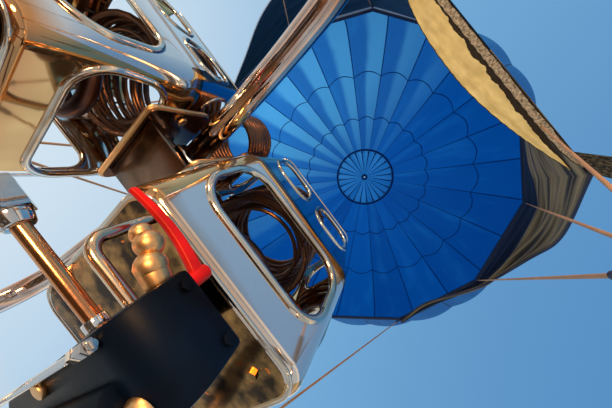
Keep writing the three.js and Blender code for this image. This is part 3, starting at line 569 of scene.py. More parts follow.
brass = metal("brass_fitting", (0.95, 0.56, 0.24), (0.78, 0.38, 0.14), 0.28, 0.46, tint_scale=20.0)
warm_rod = metal("warm_rod", (0.85, 0.6, 0.38), (0.42, 0.2, 0.09), 0.1, 0.26, tint_scale=16.0)
copper = metal("copper_pipe", (0.78, 0.38, 0.16), (0.5, 0.14, 0.06), 0.08, 0.25, tint_scale=12.0)
# The black casting's blue tint patches are a painted sheen, the sky's reflection on its rounded edge.
black_with_painted_sheen = metal("black_casting", (0.002, 0.002, 0.003), (0.002, 0.013, 0.04), 0.3, 0.5, metallic=0.0,
              tint_scale=10.0, gloss=0.08)
red = metal("red_lever", (0.75, 0.006, 0.002), (0.4, 0.004, 0.001), 0.3, 0.5, metallic=0.0,
            tint_scale=22.0, gloss=0.22)
enamel = metal("cylinder_enamel", (0.74, 0.75, 0.76), (0.66, 0.66, 0.65), 0.25, 0.5, metallic=0.1,
               tint_scale=4.0, coat=0.2)
print("polished, satin, heated and painted finishes")

# %% [markdown]
# The sheet under each can is scorched unevenly: dark blotches and a few rust-red specks lie over its
# straw tint. They are laid over the colour that the metal already has, so its first link is taken and
# mixed further.

# %% Scorched sheet
scorched = metal("scorched_sheet", (0.52, 0.26, 0.08), (0.06, 0.035, 0.015), 0.04, 0.16, tint_scale=55.0,
                 wave=0.3)
BLOTCH, RUST = (0.05, 0.028, 0.014), (0.95, 0.22, 0.03)
tree = scorched.node_tree
base_colour = tree.nodes["Principled BSDF"].inputs["Base Color"]
place = object_place(tree)
blotches = grade(tree, noise(tree, place, 26.0, 6.0), 0.44, 0.6)
specks = math_node(tree, "GREATER_THAN", noise(tree, place, 75.0, 2.0), 0.68)
blotchy = mixed(tree, blotches, base_colour.links[0].from_socket, BLOTCH)
tree.links.new(mixed(tree, specks, blotchy, RUST), base_colour)
print("scorched sheet:", scorched.name)

# %% [markdown]
# The can's sheet is a mirror, a little wavy as rolled sheet is. Its colour carries painted reflections: a
# straw band at its bend and its lower edge, and brown to gold on the sides that face along X. The masks
# follow the height and the side in the object's own place. Below the bend a thin film of dust takes a
# little of the mirror away.

# %% Can steel
CAN_SPACING, BEND = 0.21, BURNER_LEVEL + 0.212
STRAW_GLINT, BROWN_REFLECTION, GOLD_REFLECTION = (0.62, 0.3, 0.12), (0.3, 0.13, 0.04), (1.0, 0.64, 0.27)
DUSTY = 0.91
mirror = metal("mirror_sheet", (0.9, 0.81, 0.72), (0.82, 0.74, 0.64), 0.02, 0.1, wave=0.12)
tree = mirror.node_tree
shader = tree.nodes["Principled BSDF"]
base_colour = shader.inputs["Base Color"]
place = object_place(tree)
height = tree.nodes.new("ShaderNodeSeparateXYZ")
tree.links.new(place, height.inputs[0])
ripple = noise(tree, place, 11.0, 2.0)
level = math_node(tree, "ADD", height.outputs["Z"], math_node(tree, "MULTIPLY", ripple, 0.02))
# Painted reflection: a straw band at the bend and along the lower edge.
painted_glint_band = math_node(tree, "MAXIMUM", band(tree, level, BEND, 0.008),
                  grade(tree, level, BURNER_LEVEL + 0.034, BURNER_LEVEL + 0.006))
across_can = math_node(tree, "SUBTRACT", math_node(tree, "ABSOLUTE", height.outputs["X"]), CAN_SPACING)
sideways = math_node(tree, "SUBTRACT", math_node(tree, "ABSOLUTE", across_can),
                     math_node(tree, "ABSOLUTE", height.outputs["Y"]))
beside = math_node(tree, "GREATER_THAN", sideways, 0.004)
# Painted reflection: brown to gold on the sides that face along X.
painted_side_reflection = mixed(tree, math_node(tree, "SMOOTH_MIN", ripple, 1.0), BROWN_REFLECTION, GOLD_REFLECTION)
sided = mixed(tree, beside, base_colour.links[0].from_socket, painted_side_reflection)
tree.links.new(mixed(tree, painted_glint_band, sided, STRAW_GLINT), base_colour)
above_bend = math_node(tree, "GREATER_THAN", level, BEND)
clean = math_node(tree, "ADD", DUSTY, math_node(tree, "MULTIPLY", above_bend, 1 - DUSTY))
tree.links.new(clean, shader.inputs["Metallic"])
print("can steel:", mirror.name)

# %% [markdown]
# Balloon cloth is coated ripstop nylon. Seen from inside it glows where the sun is behind it. Each gore
# has its own slight shade, load tapes run up its edges, and two seams go round. All of that hangs on the
# UV map: u counts the gores and v is the length along the outline in metres.

# %% Gore cloth
SUNLIT_BLUE = (0.07, 0.31, 0.5)


def sunlit_half(tree, across, folds):
    """How much sun shines through: only on the bag's sunny side, and mostly on one half of each gore."""
    facing = tree.nodes.new("ShaderNodeSeparateXYZ")
    tree.links.new(object_place(tree), facing.inputs[0])
    leaning = math_node(tree, "ADD", math_node(tree, "MULTIPLY", facing.outputs["X"], -1.0),
                        math_node(tree, "MULTIPLY", facing.outputs["Y"], 0.1))
    sunny = grade(tree, leaning, 0.1, 4.2)
    slant = math_node(tree, "ADD", across, math_node(
        tree, "MULTIPLY", math_node(tree, "SUBTRACT", folds, 0.5), 0.35))
    lit_half = grade(tree, slant, 0.38, 0.6, "SMOOTHSTEP")
    return math_node(tree, "MULTIPLY", sunny, math_node(
        tree, "ADD", math_node(tree, "MULTIPLY", lit_half, 0.7), 0.22))


def gore_cloth(name, blues, tape, seams, seam_half, tape_half, hem=None, hub=None, glow=0.12):
    """Blue ripstop with tapes on the gore lines and seams at some lengths v, dark below hem and above hub."""
    made, tree, shader = start_finish(name, 0.55)
    uv = tree.nodes.new("ShaderNodeSeparateXYZ")
    tree.links.new(uv_place(tree), uv.inputs[0])
    u, v = uv.outputs["X"], uv.outputs["Y"]
    across = math_node(tree, "FRACT", u)
    away = math_node(tree, "MINIMUM", across, math_node(tree, "SUBTRACT", 1.0, across))
    tape_mask = math_node(tree, "LESS_THAN", away, tape_half)
    arc = math_node(tree, "SINE", math_node(tree, "MULTIPLY", across, math.pi))
    bowed = math_node(tree, "ADD", v, math_node(tree, "MULTIPLY", arc, 0.22))
    for where in seams:
        tape_mask = math_node(tree, "MAXIMUM", tape_mask, band(tree, bowed, where, seam_half))
    gore = tree.nodes.new("ShaderNodeTexWhiteNoise")
    gore.noise_dimensions = "1D"
    tree.links.new(math_node(tree, "FLOOR", u), gore.inputs["W"])
    shade = mixed(tree, gore.outputs["Value"], blues[0], blues[1])
    panels = tree.nodes.new("ShaderNodeCombineXYZ")
    tree.links.new(math_node(tree, "MULTIPLY", u, 2.0), panels.inputs["X"])
    tree.links.new(math_node(tree, "MULTIPLY", v, 0.22), panels.inputs["Y"])
    folds = noise(tree, panels.outputs[0], 1.1, 3.0)
    shade = mixed(tree, grade(tree, folds, 0.5, 1.0), shade, blues[2])
    shade = mixed(tree, sunlit_half(tree, across, folds), shade, SUNLIT_BLUE)
    if hem is not None:
        shade = mixed(tree, math_node(tree, "LESS_THAN", v, hem), shade, tape)
    if hub is not None:
        shade = mixed(tree, math_node(tree, "GREATER_THAN", v, hub), shade, tape)
    colour = mixed(tree, tape_mask, shade, tape)
    tree.links.new(colour, shader.inputs["Base Color"])
    tree.links.new(colour, shader.inputs["Emission Color"])
    shader.inputs["Emission Strength"].default_value = glow
    woven = placed(tree, weave, object_place(tree), Threads=900.0, Grid=240.0)
    relief = math_node(tree, "ADD", math_node(tree, "MULTIPLY", woven.outputs["Grid"], 0.04),
                       math_node(tree, "ADD", math_node(tree, "MULTIPLY", tape_mask, 0.3), folds))
    bumped(tree, shader, relief, 0.5, 0.05)
    worn_roughness(tree, shader, object_place(tree), 0.42, 0.62)
    shader.inputs["Specular IOR Level"].default_value = 0.15
    return made


print("gore cloth")

# %% [markdown]
# ## The envelope
# A spun outline gives the whole bag in one go. The gores then swell between their tapes, and the lowest
# part is pulled to the twelve-sided mouth, by moving the spun vertices. A thin Solidify makes it cloth.

# %% Envelope outline
GORES = 24
WIDEST, CROWN, MOUTH_DROP, MOUTH_RADIUS = 6.75, 6.9, 9.15, 2.25
VENT, SEAT = 1.85, 2.25
LEAN = math.radians(33)
LOWER_STEPS, UPPER_STEPS = 36, 28


def lower_point(t):
    """The outline from the mouth, t = 0, to the widest ring, t = 1, as a cubic curve."""
    a = Vector((MOUTH_RADIUS, -MOUTH_DROP))
    b = a + 5.6 * Vector((math.sin(LEAN), math.cos(LEAN)))
    c, d = Vector((WIDEST, -1.9)), Vector((WIDEST, 0))
    return (1 - t) ** 3 * a + 3 * t * (1 - t) ** 2 * b + 3 * t * t * (1 - t) * c + t ** 3 * d


def crown_height(radius):
    """The height of the upper half, a quarter of an ellipse, at a radius."""
    return CROWN * math.sqrt(1 - (radius / WIDEST) ** 2)


outline = [lower_point(i / LOWER_STEPS) for i in range(LOWER_STEPS)]
last_turn = math.acos(VENT / WIDEST)
for i in range(UPPER_STEPS + 1):
    turn = last_turn * i / UPPER_STEPS
    outline.append(Vector((WIDEST * math.cos(turn), CROWN * math.sin(turn))))
lengths = [0.0]
for low, high in zip(outline, outline[1:]):
    lengths.append(lengths[-1] + (high - low).length)


def along_outline(z):
    """The length of cloth from the mouth up to a height."""
    for i in range(len(outline) - 1):
        if z <= outline[i + 1].y:
            span = (z - outline[i].y) / (outline[i + 1].y - outline[i].y)
            return lengths[i] + (lengths[i + 1] - lengths[i]) * max(span, 0)
    return lengths[-1]


print("outline: %.2f m from mouth to vent" % lengths[-1])

# %% [markdown]
# Over the whole bag the cloth bulges between the tapes, and near the mouth it becomes a polygon with a
# corner at each wire. Both are a share by which the spun radius is multiplied, and a soft step leads from
# one to the other.

# %% Swollen gores


def ease(value, low, high):
    """A soft step from 0 at low to 1 at high."""
    t = min(max((value - low) / (high - low), 0), 1)
    return t * t * (3 - 2 * t)


def mouth_share(angle):
    """How far the twelve-sided mouth reaches at an angle, as a share of its corners' radius."""
    step = math.pi / 6
    from_wire = angle % step - step / 2
    return math.cos(step / 2) / math.cos(step / 2 - abs(from_wire))


def width_share(angle, z):
    """How far the cloth reaches at an angle and a height, as a share of the outline's radius."""
    rise = ease(z, -MOUTH_DROP, 2.6 - MOUTH_DROP)
    fall = 1 - ease(z, CROWN / 2, crown_height(SEAT))
    across = (angle / (2 * math.pi) * GORES) % 1
    swell = 1 + 0.018 * fall * (1 - (2 * across - 1) ** 2)
    return mouth_share(angle) * (1 - rise) + swell * rise


print("swell at the widest ring: %.3f" % width_share(math.pi / GORES, 0))

# %% [markdown]
# Every cloth is a single layer of faces first, so its own area is the area of the cut. Then a thin
# Solidify gives it a wall.

# %% Cloth helpers


def unwrap(mesh, v_of):
    """A UV map with u as the gore count and v as v_of(point)."""
    layer = mesh.uv_layers.new(name="UVMap")
    for face in mesh.polygons:
        centre = math.atan2(face.center.y, face.center.x)
        for loop in face.loop_indices:
            co = mesh.vertices[mesh.loops[loop].vertex_index].co
            turn = math.atan2(co.y, co.x)
            turn += 2 * math.pi * round((centre - turn) / (2 * math.pi))
            layer.data[loop].uv = (turn / (2 * math.pi) * GORES, v_of(co))


def outward(mesh):
    """Turns a mesh's faces so that they point away from the balloon's axis."""
    bm = bmesh.new()
    bm.from_mesh(mesh)
    if sum(f.normal.dot(f.calc_center_median().xy.to_3d()) for f in bm.faces) < 0:
        bmesh.ops.reverse_faces(bm, faces=bm.faces)
    bm.to_mesh(mesh)
    bm.free()


def cloth(name, mesh, body, material, thickness, replaced=(), sharp=80,
          offset=0.0):
    """A piece of cloth of some thickness. Gives back the area of its cut."""
    area = sum(face.area for face in mesh.polygons)
    made = piece(name, [mesh], body, material, replaced, sharp)
    wall = made.modifiers.new("cloth", "SOLIDIFY")
    wall.thickness = thickness
    wall.offset = offset
    wall.use_even_offset = True
    return area


print("cloth helpers")

# %% [markdown]
# The bag itself: the outline is spun with ten steps to a gore, so that the bulge is smooth. Its tapes and
# seams come from the finish, by way of the UV map.

# %% Envelope
OUTER_GAP = 0.002
bag = turned([(p.x, p.y) for p in outline], GORES * 10)
for vertex in bag.vertices:
    angle = math.atan2(vertex.co.y, vertex.co.x)
    share = width_share(angle, vertex.co.z) * (1 - OUTER_GAP / max(vertex.co.xy.length, 1))
    vertex.co.x *= share
    vertex.co.y *= share
outward(bag)
unwrap(bag, lambda co: along_outline(co.z))
seam_levels = [along_outline(5.5), along_outline(3.0)]
envelope_blue = gore_cloth("envelope_cloth", [(0.001, 0.075, 0.28), (0.001, 0.105, 0.36), (0.01, 0.17, 0.44)],
                           (0.001, 0.021, 0.095), seam_levels, 0.035, 0.016, hem=0.9)
bag_area = cloth("envelope", bag, "balloon", envelope_blue, 0.006,
                 ("envelope_lower", "envelope_middle", "envelope_upper"), sharp=60, offset=-1.0)
print("envelope: %.0f m2 of cloth, seams at" % bag_area, [round(v, 2) for v in seam_levels])

# %% [markdown]
# ## The parachute valve
# A disc of the same cloth lies under the vent and is held up by the hot air. Its rim has a dark band,
# tapes run to the hub, and it is pulled down to let air out, so it rides on a body of its own.

# %% Parachute valve
PARACHUTE = 2.15
UNDER_SEAT, UNDER_CROWN = 0.0125, 0.0715
SEAT_INNER = VENT - 0.01
vent_height = crown_height(VENT)
slope = (vent_height - crown_height(SEAT)) / (VENT - SEAT)


def valve_height(radius):
    """Under the seat the disc runs along the envelope. Inside the vent it sinks a little."""
    if radius >= SEAT_INNER:
        return vent_height + slope * (radius - VENT) - UNDER_SEAT
    bottom = crown_height(radius) - UNDER_CROWN
    edge = vent_height + slope * (SEAT_INNER - VENT) - UNDER_SEAT
    return edge + (bottom - edge) * ease(SEAT_INNER - radius, 0, 0.44)


radii = [PARACHUTE - 0.003, 2.05, 1.95, 1.84, 1.72, 1.6, 1.5, 1.4, 1.2, 1.0, 0.8, 0.6, 0.4, 0.2, 0.065]
valve = turned([(r, valve_height(r)) for r in radii], GORES * 6)
if valve.polygons[0].normal.z < 0:
    valve.flip_normals()
unwrap(valve, lambda co: PARACHUTE - co.xy.length)
valve_blue = gore_cloth("parachute_cloth", [(0.006, 0.14, 0.38), (0.02, 0.2, 0.46), (0.07, 0.3, 0.54)],
                        (0.001, 0.012, 0.06), [0.34], 0.02, 0.09, hem=0.14, hub=PARACHUTE - 0.24)
valve_area = cloth("parachute_valve_cloth", valve, "parachute", valve_blue, 0.005,
                   ("parachute_valve",), sharp=60, offset=-1.0)
print("parachute valve: %.1f m2" % valve_area)

# %% [markdown]
# ## Mouth hoop and flying wires
# Tapes and sheaths are woven too. They share one recipe: a fine weave over a blotchy colour, with a bump
# that follows both.

# %% Woven tapes and sheaths


def woven_tape(name, colour, second, threads, roughness=0.75):
    made, tree, shader = start_finish(name, roughness)
    place = object_place(tree)
    woven = placed(tree, weave, place, Threads=threads, Grid=threads / 5)
    blotch = noise(tree, place, 12.0, 4.0)
    tree.links.new(mixed(tree, blotch, colour, second), shader.inputs["Base Color"])
    relief = math_node(tree, "ADD", woven.outputs["Height"], math_node(tree, "MULTIPLY", blotch, 2.0))
    bumped(tree, shader, relief, 0.35, 0.002)
    worn_roughness(tree, shader, place, roughness - 0.12, roughness + 0.12)
    return made


navy_tape = woven_tape("navy_tape", (0.004, 0.012, 0.05), (0.012, 0.03, 0.09), 1400.0)
white_tape = woven_tape("white_tape", (0.6, 0.66, 0.72), (0.42, 0.5, 0.6), 1400.0)
sheath = woven_tape("wire_sheath", (0.55, 0.26, 0.08), (0.3, 0.16, 0.08), 2600.0, 0.5)
dark_sheath = woven_tape("dark_sheath", (0.02, 0.02, 0.03), (0.06, 0.04, 0.03), 2600.0, 0.5)

print("tapes:", navy_tape.name, white_tape.name, sheath.name, dark_sheath.name)

# %% [markdown]
# The mouth is gathered on a taped cable that the twelve wires pull into a polygon. Spinning a small
# circle in twelve steps makes exactly that shape. Each corner is wrapped with a knot of tape.

# %% Hoop
HOOP_LEVEL = -MOUTH_DROP - 0.0303
WIRES, HALF_KNOT = 12, 0.06
knots = []
for i in range(WIRES):
    turn = math.pi / WIRES + i * math.pi / 6
    middle = Vector((MOUTH_RADIUS * math.cos(turn), MOUTH_RADIUS * math.sin(turn), HOOP_LEVEL))
    along = HALF_KNOT * Vector((-math.sin(turn), math.cos(turn), 0))
    knots.append(rod(middle - along, middle + along, 0.024, 16, bevel=0.006))
cable = hoop(MOUTH_RADIUS, 0.018, WIRES, (0, 0, HOOP_LEVEL), angle=math.pi / WIRES)
piece("mouth_cable", [cable, *knots], "balloon", navy_tape, ("mouth_hoop",))
print("hoop with", len(knots), "knots")

# %% [markdown]
# Three wires come down to each corner of the frame and join above it. A wire is a thin rod, because it is
# pulled taut, and it ends in pressed sleeves.

# %% Wires
FRAME_X, FRAME_Y, SWAGE = 0.51, 0.5, 0.2
corners = [(1, -1), (1, 1), (-1, 1), (-1, -1)]
for number, (side_x, side_y) in enumerate(corners, 1):
    foot = Vector((side_x * FRAME_X, side_y * FRAME_Y, BURNER_LEVEL + SWAGE))
    turn = math.atan2(side_y, side_x)
    strands, sleeves = [], []
    for angle in (turn - math.pi / 6, turn, turn + math.pi / 6):
        top = Vector((MOUTH_RADIUS * math.cos(angle), MOUTH_RADIUS * math.sin(angle), HOOP_LEVEL))
        reach = (foot - top).normalized()
        strands.append(rod(foot, top + 0.03 * reach, 0.005, 10))
        sleeves.append(rod(top + 0.04 * reach, top + 0.42 * reach, 0.009, 12, bevel=0.002))
        sleeves.append(rod(foot - 0.03 * reach, foot - 0.2 * reach, 0.009, 12, bevel=0.002))
    sleeves.append(hoop(0.012, 0.006, 20, foot, "X"))
    piece(f"wires_{number}", strands, "balloon", sheath, (f"flying_wires_{number}",))
    piece(f"wire_sleeves_{number}", sleeves, "balloon", dark_sheath)
print("wires:", 3 * len(corners))

# %% [markdown]
# ## The scoop
# A curtain of flame-proof cloth hangs under the front half of the mouth and steers air into it. Its
# finish has dark streaks along the folds that are painted fold shade, slow patches of another tone, an
# edge of another colour that can be torn or run at a slant, and an emission that paints sunlight through
# the cloth.

# %% Scoop cloth


def hanging_cloth(name, colours, edge, glow, threads=700.0, grain=(9.0, 16.0), ragged=0.0, spread=0.3,
                  widening=0.0, opening_out=0.0):
    """Streaked cloth, the streaks being painted fold shade. Its edge gives a colour and how far that reaches
    in from v = 0 and from v = 1; on the hem that colour is painted crease shade.
    """
    made, tree, shader = start_finish(name, 0.7)
    uv = tree.nodes.new("ShaderNodeSeparateXYZ")
    tree.links.new(uv_place(tree), uv.inputs[0])
    stretched = tree.nodes.new("ShaderNodeMapping")
    stretched.inputs["Scale"].default_value = (*grain, 1.0)
    tree.links.new(uv_place(tree), stretched.inputs["Vector"])
    fold_shade_streaks = noise(tree, stretched.outputs["Vector"], 1.4, 4.0)
    patches = noise(tree, object_place(tree), 1.3, 3.0)
    # Dark streaks along the folds are painted fold shade.
    shade = mixed(tree, grade(tree, fold_shade_streaks, 0.5 - spread, 0.5 + spread), colours[0], colours[1])
    shade = mixed(tree, math_node(tree, "MULTIPLY", patches, 0.5), shade, colours[2])
    edge_band_and_crease_shade, near_edge, far_edge = edge
    tears = math_node(tree, "SUBTRACT", noise(tree, object_place(tree), 9.0, 4.0), 0.5)
    torn = math_node(tree, "ADD", uv.outputs["Y"], math_node(tree, "MULTIPLY", tears, ragged))
    past = math_node(tree, "MULTIPLY", math_node(tree, "SUBTRACT", uv.outputs["X"], 0.4), opening_out)
    near_mask = math_node(tree, "LESS_THAN", torn, math_node(tree, "ADD", near_edge, past))
    before = math_node(tree, "MAXIMUM", math_node(tree, "SUBTRACT", 0.4, uv.outputs["X"]), 0.0)
    widened = math_node(tree, "ADD", uv.outputs["Y"], math_node(tree, "MULTIPLY", before, widening))
    far_mask = math_node(tree, "GREATER_THAN", widened, 1 - far_edge)
    # On the scoop the edge colour is a band of another colour; on the hem it is painted crease shade.
    shade = mixed(tree, math_node(tree, "MAXIMUM", near_mask, far_mask), shade, edge_band_and_crease_shade)
    tree.links.new(shade, shader.inputs["Base Color"])
    # Emission is painted light: a glow standing in for sun through the cloth.
    tree.links.new(shade, shader.inputs["Emission Color"])
    shader.inputs["Emission Strength"].default_value = glow
    woven = placed(tree, weave, object_place(tree), Threads=threads, Grid=threads / 6)
    relief = math_node(tree, "ADD", math_node(tree, "MULTIPLY", woven.outputs["Height"], 0.05),
                       math_node(tree, "MULTIPLY", fold_shade_streaks, 1.2))
    bumped(tree, shader, relief, 0.5, 0.02)
    worn_roughness(tree, shader, object_place(tree), 0.55, 0.85)
    shader.inputs["Sheen Weight"].default_value = 0.04
    shader.inputs["Specular IOR Level"].default_value = 0.18
    return made


print("scoop cloth")

# %% [markdown]
# The curtain is ruled between two lines. The upper one follows the hoop's corners. The lower one runs
# down the two side edges, taut on the right and slack on the left as the wind leaves it, and its front
# hem is straight between their ends.

# %% Scoop edges
HEM_END = (0.923, -1.253, 1.57)
TAUT_EDGE = [(2.065, 0.137, 3.3), (2.025, -0.503, 3.0), (1.658, -0.973, 2.4), (1.396, -1.11, 2.0), HEM_END]
SLACK_EDGE = [(2.22, 0.137, 3.14), (2.13, -0.4, 2.7), (1.85, -0.9, 2.3), (1.44, -1.11, 1.97), HEM_END]
SCOOP_TOP = HOOP_LEVEL - 0.0303
SIDE_SHARE = 0.32


def scoop_top(share):
    """A point of the upper line, with share from 0 at its right end to 1 at its left end."""
    turn = math.radians(15 - share * 210)
    radius = MOUTH_RADIUS * mouth_share(turn)
    return Vector((radius * math.cos(turn), radius * math.sin(turn), SCOOP_TOP))


def edge_line(points):
    start = scoop_top(0) - Vector((0, 0, 0.04))
    return bent([start, *[(x, y, BURNER_LEVEL + rise) for x, y, rise in points]], 12)


taut_line, slack_line = edge_line(TAUT_EDGE), edge_line(SLACK_EDGE)


def scoop_hem(share):
    """A point of the lower line: along a side edge first, then across the front."""
    side, line = (1, taut_line) if share < 0.5 else (-1, slack_line)
    inward = share if share < 0.5 else 1 - share
    place = min(inward / SIDE_SHARE, 1) * (len(line) - 1)
    before = min(int(place), len(line) - 2)
    point = line[before].lerp(line[before + 1], place - before)
    across = max(inward - SIDE_SHARE, 0) / (0.5 - SIDE_SHARE)
    return Vector((side * (1 - across) * point.x, point.y, point.z))


print("front hem from", [round(c, 2) for c in scoop_hem(SIDE_SHARE)])

# %% [markdown]
# Cloth that hangs or is gathered starts as a flat grid, whose two counts are also its UV map. Moving the
# grid's points by a rule gives the drape, and a few sine waves in that rule give the folds.

# %% Curtain


def cloth_grid(columns, rows, place, unwrapped):
    """A grid of cloth: for x and y from 0 to 1, place(x, y) is a point and unwrapped(x, y) its UV."""
    bm = bmesh.new()
    layer = bm.loops.layers.uv.new("UVMap")
    bmesh.ops.create_grid(bm, x_segments=columns, y_segments=rows, size=0.5)
    flat = {v: (v.co.x + 0.5, v.co.y + 0.5) for v in bm.verts}
    for vertex, (x, y) in flat.items():
        vertex.co = place(x, y)
    for face in bm.faces:
        for loop in face.loops:
            loop[layer].uv = unwrapped(*flat[loop.vert])
    return to_mesh(bm)


def curtain(first, last, columns, rows, folds):
    """Part of the scoop, as a grid from the share first to the share last."""
    def place(x, y):
        share, down = first + (last - first) * x, 1 - y
        top = scoop_top(share)
        out = top.xy.to_3d().normalized()
        taut = ease(share, 0.25, 0.36) * (1 - ease(share, 0.64, 0.75))
        bulge = (0.06 - 0.085 * taut) * math.sin(down * math.pi) * math.sin(share * math.pi)
        ripple = folds * (1 - 0.6 * taut) * math.sin(down * math.pi) ** 0.7 * (
            math.sin(38 * down + 9 * share) + 0.7 * math.sin(17 * down - 31 * share + 1))
        return top.lerp(scoop_hem(share), down) + out * (bulge + ripple)
    return cloth_grid(columns, rows, place, lambda x, y: (first + (last - first) * x, y))


# The khaki's near-black streaks are painted fold shade.
khaki = hanging_cloth("scoop_khaki", [(0.008, 0.007, 0.005), (0.3, 0.22, 0.11), (0.05, 0.038, 0.024)],
                      ((0.001, 0.006, 0.022), 0.0, 0.12), 0.06, grain=(5.0, 15.0), spread=0.11, widening=1.5)
navy_cloth = hanging_cloth(
    "scoop_navy", [(0.0005, 0.018, 0.046), (0.001, 0.045, 0.1), (0.0005, 0.014, 0.036)],
    ((0.3, 0.36, 0.42), 0.0, 0.04), 0.05)
front_area = cloth("scoop_front", curtain(0, 0.5, 100, 40, 0.018), "balloon", khaki, 0.004,
                   ("scoop",))
side_area = cloth("scoop_side", curtain(0.5, 1, 90, 30, 0.01), "balloon", navy_cloth, 0.004)
print("scoop: %.2f + %.2f m2" % (front_area, side_area))

# %% [markdown]
# The front hem is turned in: a crescent that the sun lights through, painted with a glow, a dark crease of
# painted shade, and a gathered strip outside it. A drawcord gathers the strip, so its grid is waved along
# its length; the dark gathers and edges of the strip are painted shade.

# %% Turned-in hem
# The flap's glow is painted sunlight, and its dark edge band is painted crease shade.
sunlit = hanging_cloth("hem_sunlit", [(0.42, 0.3, 0.1), (0.8, 0.62, 0.26), (0.3, 0.19, 0.06)],
                       ((0.02, 0.012, 0.006), 0.13, 0.02), 0.3, 900.0, (12.0, 2.5), 0.55, opening_out=0.3)
# The strip's dark streaks and edges are painted shade in its gathers.
gathered = hanging_cloth("hem_gathered", [(0.1, 0.07, 0.04), (0.62, 0.5, 0.33), (0.2, 0.15, 0.1)],
                         ((0.02, 0.015, 0.01), 0.1, 0.12), 0.16, 900.0, (150.0, 2.0), 0.25, 0.14)
HEM_Y, HEM_Z = HEM_END[1], BURNER_LEVEL + HEM_END[2]


def hem_strip(near, far, columns, rows, wave, half):
    """A strip of the hem between two distances in from its edge, each a function of x."""
    def place(x, y):
        across = (2 * x - 1) * half
        inward = near(across) + (far(across) - near(across)) * y
        lift = wave * math.sin(across * 90 + 2 * math.sin(across * 13)) * (0.4 + 0.6 * y)
        return Vector((across, HEM_Y + inward, HEM_Z + 0.006 + lift + 0.012 * math.sin(math.pi * y)))
    return cloth_grid(columns, rows, place, lambda x, y: (x * half, y))


def flap_edge(x):
    """The flap's inner edge, a bow that is fuller at the right."""
    return 0.06 + 0.165 * (1 - abs(x / 0.84) ** (1.7 if x > 0 else 2.6))


def band_edge(x):
    return 0.055 * (1 - abs(x / 0.88) ** 8)


flap_area = cloth("scoop_hem_flap", hem_strip(lambda x: 0.055, flap_edge, 90, 12, 0.003, 0.84), "balloon",
                  sunlit, 0.003)
print("hem flap: %.2f m2" % flap_area)

# %% [markdown]
# At the flap's right end a small corner of dark, frayed cloth hangs down. The gathered strip goes along
# the whole hem, and the side edges are bound with a cord and a pale tape.

# %% Hem corner, band and side edges
frayed = hanging_cloth("hem_frayed", [(0.006, 0.005, 0.004), (0.12, 0.1, 0.065), (0.02, 0.018, 0.014)],
                       ((0.006, 0.005, 0.004), 0.06, 0.1), 0.03, 900.0, (9.0, 7.0), 0.5, 0.1)
CORNER_NEAR = Vector((0.75, HEM_Y - 0.003, HEM_Z + 0.03)), Vector((0.9, HEM_Y + 0.003, HEM_Z + 0.02))
CORNER_FAR = Vector((0.9, HEM_Y - 0.13, HEM_Z)), Vector((1.05, HEM_Y - 0.1, HEM_Z - 0.01))


def corner_place(x, y):
    """A point of the hem corner: between its two edges, with a slight dip and wave."""
    point = CORNER_NEAR[0].lerp(CORNER_NEAR[1], x).lerp(CORNER_FAR[0].lerp(CORNER_FAR[1], x), y)
    return point + Vector((0, -0.02 * y * x * (1 - x), 0.008 * y * math.sin(17 * x + 5 * y)))


corner_area = cloth("scoop_hem_corner", cloth_grid(28, 16, corner_place, lambda x, y: (x, y)), "balloon",
                    frayed, 0.003)
band_area = cloth("scoop_hem_band", hem_strip(lambda x: 0.0, band_edge, 240, 6, 0.004, 0.87), "balloon",
                  gathered, 0.003)
piece("scoop_edge_cord", [tube(taut_line, 0.007, sides=8)], "balloon", navy_tape)
piece("scoop_edge_tape", [tube([Vector((-p.x, p.y, p.z)) for p in slack_line], 0.007, sides=8)], "balloon",
      white_tape)
print("hem corner %.3f and band %.3f m2" % (corner_area, band_area))

# %% [markdown]
# ## Burner cans
# Each can is one sheet folded into a square, flared to a bend and drawn in again. It is made by extruding
# a rounded square upwards, scaling every new ring, then down again inside, so that the wall is closed
# before the openings are cut.

# %% Can wall
CANS = {"right": CAN_SPACING, "left": -CAN_SPACING}
WALL = 0.003
LEVELS = [(0.0, 0.1195), (0.0025, 0.1225), (0.0055, 0.1252), (0.01, 0.1272), (0.06, 0.1314), (0.12, 0.1363),
          (0.188, 0.1419), (0.194, 0.1424), (0.2, 0.1426), (0.206, 0.1424), (0.212, 0.1418), (0.26, 0.138),
          (0.31, 0.1341), (0.37, 0.13)]


def wall_half(z):
    """Half the can's width at a height above its base."""
    for (low, a), (high, b) in zip(LEVELS, LEVELS[1:]):
        if z <= high:
            return a + (b - a) * (z - low) / (high - low)
    return LEVELS[-1][1]


def rounded(half_x, half_z, corner, per_corner=8):
    """The outline of a rectangle with round corners."""
    points = []
    for quarter, (sign_x, sign_z) in enumerate(((1, 1), (-1, 1), (-1, -1), (1, -1))):
        for i in range(per_corner + 1):
            angle = (quarter + i / per_corner) * math.pi / 2
            points.append((sign_x * (half_x - corner) + corner * math.cos(angle),
                           sign_z * (half_z - corner) + corner * math.sin(angle)))
    return points


